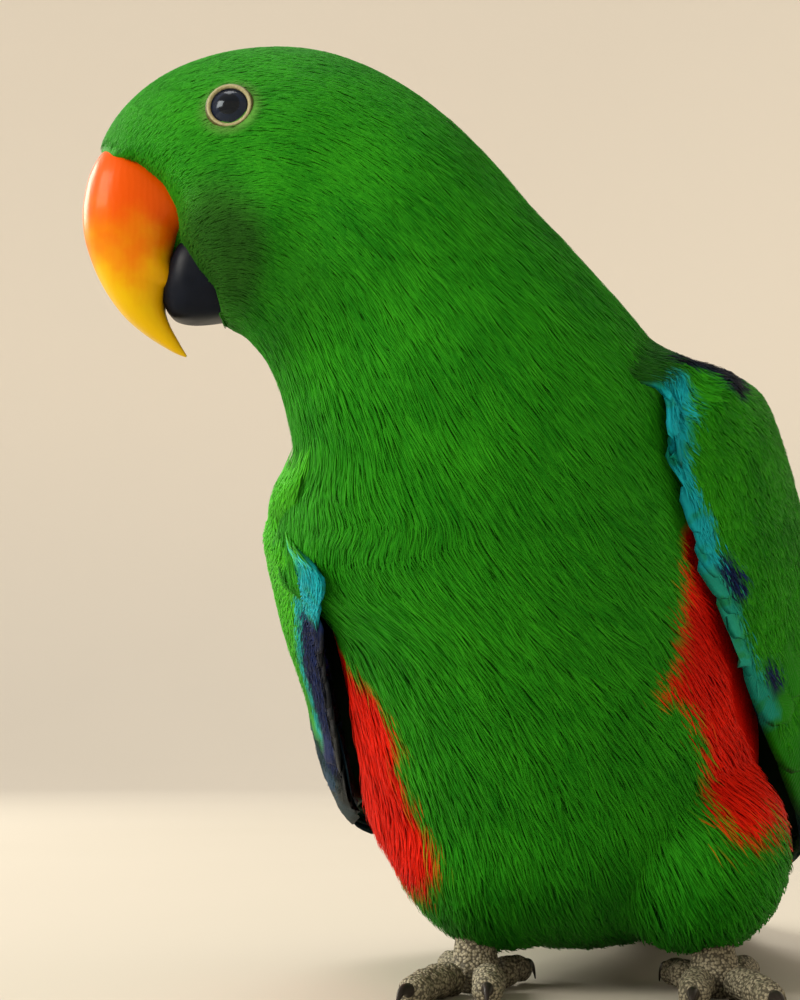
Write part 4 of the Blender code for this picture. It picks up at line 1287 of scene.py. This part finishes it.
def shoulder_down(name, hand, material, rng):
    """Fine strands over the coverts and the shoulder. They lie flat where they begin, and the right
    wing's green ones are made paler by painted light.
    """
    def surface(rows, spots):
        return cover_point(rows, spots, 0.0, hand)

    def weight(rows, spots, _):
        return 2.3 * ease(first, first + 0.4, rows) * ease(14.2, 13.0, rows) * ease(1.02, 0.85, spots)

    first = DOWN_START[hand]
    rows, turns = (first, 14.2), (0.0, 1.0)
    at, spot = scatter(rng, surface, weight, rows, turns)
    count = len(at)
    root = surface(at, spot)
    size = np.interp(at, (9.5, 11.0, 14.0), (7.0, 4.0, 6.0)) * (0.75 + 0.5 * rng.random(count))
    lift = 0.5 + 0.1 * ripple(root, 5.0, 9) + 0.08 * rng.normal(size=count)
    lift = lift * (0.35 + 0.65 * ease(first, first + 1.0, at))
    heading = 0.12 * rng.normal(size=count) + 0.12 * ripple(root, 8.0, 12)
    points, outs, ways, spots = trace(surface, at, spot, heading, [size * 0.5, size * 0.5, 0 * size],
                                      [0.2 * lift, lift, lift], -hand)
    spots = spots + (0.04, 0.008) * rng.normal(size=(count, 1, 2))
    marks_and_shade = wing_marks_and_shade(spots[..., 0], spots[..., 1], hand)
    chance = np.clip(0.5 + 0.25 * rng.normal(size=count), 0.0, 1.0)
    # Painted light: the right wing's green strands are made paler up to row 13.
    if hand < 0:
        chance = chance + 1.2 * ease(13.0, 11.5, at) * (1.0 - marks_and_shade[:, 0].max(-1))
    half = 0.15 * (0.8 + 0.4 * rng.random(count))
    add_strands(name + "_down", points, outs, ways, half, marks_and_shade, chance, map_places(at, rows, spot, turns),
                material, "wing_plumage")


def build_wing(hand, material, down_material):
    """A folded wing: a closed base sheet, covert feathers in rows like tiles, secondaries and
    primaries, each row lying over the next, and fine strands over the coverts and the shoulder.
    """
    name = "wing_left" if hand > 0 else "wing_right"
    rng = np.random.default_rng(40 + hand)
    wing_base(name, hand, material)
    for build in (small_coverts, great_coverts, flight_feathers):
        build(name, hand, material, rng)
    shoulder_down(name, hand, down_material, rng)


def build_tail(material):
    """Twelve tail feathers, fanned a little, the middle pair on top."""
    many = TAIL_FEATHERS
    order = np.arange(many) - (many - 1) / 2
    spread = order / (many / 2)

    def place(share, half, side):
        at = 17.3 + (np.interp(np.abs(spread), (0, 1), (22.0, 21.5)) - 17.3)[:, None] * share[None, :]
        row = along(SPINE, at)
        middle, left, front = slice_frame(row)
        reach = row[..., 6] * np.interp(at, (17, 19, 22), (0.55, 0.66, 0.95))
        wide = (6.4 * half[None, :])[..., None] * side
        over = spread[:, None, None] * np.minimum(reach, 13.5)[..., None] + wide
        height = 0.9 - 1.1 * np.abs(spread)[:, None, None] * np.ones_like(over)
        height = height + 0.35 * (1.0 - side ** 2) + 0.6 * (1 - share)[None, :, None]
        middle, left, front = (part[:, :, None] for part in (middle, left, front))
        sheet = middle + over[..., None] * left - height[..., None] * front
        sheet[..., 2] = np.maximum(sheet[..., 2], TAIL_FLOOR)
        rows = np.broadcast_to(at[..., None], over.shape)
        return (sheet, -np.broadcast_to(front, sheet.shape), rows,
                np.broadcast_to(spread[:, None, None], over.shape))

    def tone_of(_, spots):
        spots = np.clip(np.abs(spots), 0.0, 1.0)
        return np.stack([0.35 * spots ** 2, 0.55 * spots ** 3, 0 * spots], -1)

    rng = np.random.default_rng(5)
    add_vanes("tail_feathers", place, tone_of, rng.random(many),
              np.stack([np.full(many, 0.5), 0.05 + 0.9 * (order + 6) / 12], -1), material,
              "tail_feathers", ("tail",), steps=20, across=9)


# Bill, eyes and feet

def build_bill(upper, lower):
    """Both halves of the bill. The attribute holds the share from base to tip and from the outer to
    the inner edge.
    """
    for name, rows, material in (("bill_upper", UPPER_BILL, upper), ("bill_lower", LOWER_BILL, lower)):
        rings, at, mix = bill_rings(rows, 120, 64)
        piece = add_tube("horn_" + name, rings, material)
        run = (at / at.max())[:, None] + 0 * mix
        add_ring_attribute(piece, "horn", np.stack([run, 1.0 - mix + 0 * run, 0 * run], -1))
        finish_piece(piece, name.split("_")[1] + "_bill", name)


def build_eyeball(name, middle, look, round_it, material):
    """An eyeball: a sphere with a slightly raised cornea."""
    polar = np.linspace(0.02, np.pi - 0.02, 40)[:, None, None]
    swell = EYE_RADIUS + CORNEA * np.exp(-(polar / CORNEA_WIDE) ** 2)
    rings = middle + swell * (np.cos(polar) * look + np.sin(polar) * round_it)
    piece = add_tube("eyeball_" + name, rings, material, flip=True)
    share = np.repeat(polar.ravel() / IRIS_EDGE, round_it.shape[1])
    add_ring_attribute(piece, "horn", np.stack([share, 0 * share, 0 * share], -1))
    finish_piece(piece, "eye", "eye_" + name)


def build_lid(name, middle, look, round_it, turn, material):
    """A lid: a closed profile turned round the way the eye looks, with beads on its rim."""
    sides = len(LID_PROFILE)
    closed = np.concatenate([LID_PROFILE, LID_PROFILE[:1]])
    profile = along(closed, np.linspace(0, sides, 3 * sides + 1)[:-1])
    out, rise = profile[:, 0][:, None, None], profile[:, 1][:, None, None]
    bead = LID_BEAD * np.sin(turn * LID_BEADS) * np.exp(-((rise - 4.4) / 0.4) ** 2)
    rings = np.moveaxis(middle + out * round_it + (rise + bead) * look, 0, 1)
    count, around = rings.shape[:2]
    ring = np.arange(count)[:, None] * around
    after = (np.arange(count)[:, None] + 1) % count * around
    step = np.arange(around)[None, :]
    turned = (step + 1) % around
    quads = np.stack([ring + turned, after + turned, after + step, ring + step], -1)
    piece = make_mesh("lid_" + name, rings.reshape(-1, 3), [quads.reshape(-1, 4)], material)
    share = np.tile(np.clip((profile[:, 0] - LID_PROFILE[0, 0]) / LID_WIDE, 0, 1), count)
    add_attribute(piece, "horn", np.stack([share, 0 * share, 0 * share], -1))
    u, v = np.meshgrid(np.linspace(0.01, 0.99, count), np.linspace(0.01, 0.99, around), indexing="ij")
    add_uv(piece, np.stack([u.ravel(), v.ravel()], -1))
    finish_piece(piece, "eyelid", "eyelid_" + name)


def build_eyes(ball, lid):
    """Both eyeballs and their lids."""
    turn = np.linspace(0.0, TURN, 64, endpoint=False)[None, :, None]
    for name, hand in HANDS.items():
        middle, look = eye_frame(hand)
        up = unit(np.cross(look, (1.0, 0.0, 0.0)))
        fore = np.cross(up, look)
        round_it = np.cos(turn) * fore + np.sin(turn) * up
        build_eyeball(name, middle, look, round_it, ball)
        build_lid(name, middle, look, round_it, turn, lid)


def toe_axis(hand, toe):
    """Where a toe starts, the way it runs and the way across it."""
    side, forward, turn, length, thick = TOES[toe]
    foot, ahead, left = foot_frame(hand)
    outward = left * hand
    start = foot - outward * side + ahead * forward
    turn = np.radians(turn)
    run = ahead * np.cos(turn) + outward * np.sin(turn)
    return start, run, np.cross(run, (0.0, 0.0, 1.0)), length, thick


def knobs(points, wave, seed):
    """Round bumps from 0 to 1 over a surface."""
    return 0.5 + 0.5 * ripple(points, wave, seed)


def build_shank(name, hand, skin):
    """A shank over its foot pad: rings that slant back above the ankle, with scutes raised on them."""
    foot, ahead, _ = foot_frame(hand)
    share = np.linspace(0.0, 1.0, 60)[:, None]
    height = SHANK_TOP * share
    half = PAD_RADIUS * np.interp(share, SHANK_RISE, SHANK_HALF)
    angle = np.linspace(0.0, TURN, 48, endpoint=False)[None, :]
    back = np.maximum(height - ANKLE, 0.0)[..., None] * SHANK_SLOPE
    ring = np.stack([half * np.cos(angle), half * np.sin(angle), height + 0 * angle], -1)
    rings = foot + ring - back * ahead
    swell = 1.0 + SHANK_KNOB * (knobs(rings, 2.4, 3) - 0.5) * (share > 0.02)
    ring[..., :2] *= swell[..., None]
    piece = add_tube("shank_skin_" + name, foot + ring - back * ahead, skin)
    finish_piece(piece, "foot_skin", "shank_" + name)


def build_toe(name, hand, toe, skin):
    """A toe: rings along its axis, swollen at each pad, with scutes and a flat underside."""
    start, run, across, length, thick = toe_axis(hand, toe)
    share = np.sin(np.linspace(-np.pi / 2, np.pi / 2, 64))[:, None] * 0.5 + 0.5
    angle = np.linspace(0.0, TURN, 40, endpoint=False)[None, :] + 0.3
    pads = round(length / PAD_LENGTH)
    swell = 1.0 - PAD_SWELL * np.cos(TURN * pads * share)
    ends = np.clip(1.0 - (np.abs(share - 0.5) * 2) ** 14, 0.02, 1.0) ** 0.5
    half = thick * (1.0 - TOE_TAPER * share) * swell * ends
    lift = TOE_RISE + TOE_ARCH * np.sin(np.pi * share)
    ring = start + (length * share)[..., None] * run + (half * np.cos(angle))[..., None] * across
    ring[..., 2] += lift + half * np.sin(angle)
    bump = TOE_KNOB * (knobs(ring, 2.2, 5) - 0.5)[..., None]
    ring = ring + bump * unit(ring - ring.mean(1, keepdims=True))
    ring[..., 2] = np.maximum(ring[..., 2], 0.0)
    piece = add_tube("toe_skin_" + name + "_" + toe, ring, skin, flip=True)
    finish_piece(piece, "foot_skin", "toe_" + name + "_" + toe)


def build_claw(name, hand, toe, horn):
    """A claw that bends down from the end of its toe to a point."""
    start, run, across, length, _ = toe_axis(hand, toe)
    share = np.linspace(0.0, 1.0, 40)[:, None]
    angle = np.linspace(0.0, TURN, 40, endpoint=False)[None, :] + 0.3
    forward = CLAW_LENGTH * np.sin(CLAW_BEND * share) / CLAW_BEND
    lift = TOE_RISE + CLAW_RISE + CLAW_ARCH * np.sin(np.pi * share) - CLAW_DROP * share ** 2.2
    half = CLAW_THICK * (1.0 - CLAW_TAPER * share)
    out = length - 0.6 + forward + half * np.sin(angle) * np.sin(share)
    wide = CLAW_NARROW * half * np.cos(angle)
    ring = start + out[..., None] * run + wide[..., None] * across
    ring[..., 2] += lift + half * np.sin(angle) * np.cos(share)
    ring[..., 2] = np.maximum(ring[..., 2], 0.0)
    piece = add_tube("claw_horn_" + name + "_" + toe, ring, horn, flip=True)
    finish_piece(piece, "claw", "claw_" + name + "_" + toe)


def build_feet(skin, horn):
    """Both shanks, with their toes and claws."""
    for name, hand in HANDS.items():
        build_shank(name, hand, skin)
        for toe in TOES:
            build_toe(name, hand, toe, skin)
            build_claw(name, hand, toe, horn)


# Studio

def build_studio():
    """A pale floor that curves up into a wall all round, soft lights and the camera."""
    bend = np.linspace(0.1, np.pi / 2, 16)
    reach = np.concatenate([np.linspace(0.02, FLOOR_REACH, 12), FLOOR_REACH + FLOOR_BEND * np.sin(bend),
                            np.full(4, FLOOR_REACH + FLOOR_BEND)])
    rise = np.concatenate([np.zeros(12), FLOOR_BEND - FLOOR_BEND * np.cos(bend),
                           np.linspace(1.0, WALL_TOP, 4)])
    angle = np.linspace(0.0, TURN, 96, endpoint=False)
    rings = np.stack([reach[:, None] * np.cos(angle), reach[:, None] * np.sin(angle),
                      rise[:, None] + 0 * angle], -1) / MM + ORIGIN
    count, around, _ = rings.shape
    quads, fans = tube_faces(count, around)
    verts = np.concatenate([rings.reshape(-1, 3), rings[:1].mean(1)])
    floor = make_mesh("floor", verts, [quads, fans[:around]], floor_material())

    world = bpy.data.worlds.new("studio")
    bpy.context.scene.world = world
    world.use_nodes = True
    world.node_tree.nodes["Background"].inputs["Color"].default_value = ROOM_TINT
    world.node_tree.nodes["Background"].inputs["Strength"].default_value = ROOM_LIGHT
    for name, spot, size, power, tint in LIGHTS:
        light = bpy.data.lights.new(name, "AREA")
        light.size = size
        light.energy = power
        light.color = tint
        lamp = bpy.data.objects.new(name, light)
        lamp.location = spot
        way = np.array(LIGHTS_AIM) - np.array(spot)
        tilt = np.arctan2(way[2], np.hypot(way[0], way[1]))
        lamp.rotation_euler = (np.pi / 2 + tilt, 0.0, np.arctan2(way[1], way[0]) - np.pi / 2)
        lamp.visible_camera = False
        bpy.context.scene.collection.objects.link(lamp)

    camera = bpy.data.cameras.new("camera")
    camera.sensor_width = SENSOR
    camera.lens = SENSOR * FOCUS_PIXELS / PICTURE_PIXELS
    camera.clip_start = 0.01
    shot = bpy.data.objects.new("camera", camera)
    shot.location = CAMERA_AT
    shot.rotation_euler = (np.radians(CAMERA_TILT), 0.0, 0.0)
    bpy.context.scene.collection.objects.link(shot)
    bpy.context.scene.camera = shot
    scene = bpy.context.scene
    scene.view_settings.view_transform = "Standard"
    scene.cycles.max_bounces = 4
    scene.cycles.diffuse_bounces = 2
    scene.cycles.glossy_bounces = 2
    scene.cycles.caustics_reflective = False
    scene.cycles.caustics_refractive = False


tones = plumage_group()
plumage = plumage_material("green plumage", tones)
vanes = vane_material("wing vanes")
wing_down = vane_material("wing down", 0.0)
upper_horn, lower_horn, claw_horn = horn_materials()
eye_gloss, lid_skin = eye_materials()
build_skin(plumage_material("skin under the plumage", tones, 0.6))
build_coat(plumage)
for side_hand in HANDS.values():
    build_wing(side_hand, vanes, wing_down)
build_tail(vane_material("tail vanes", tipped=True))
build_bill(upper_horn, lower_horn)
build_eyes(eye_gloss, lid_skin)
build_feet(foot_material(), claw_horn)
build_studio()
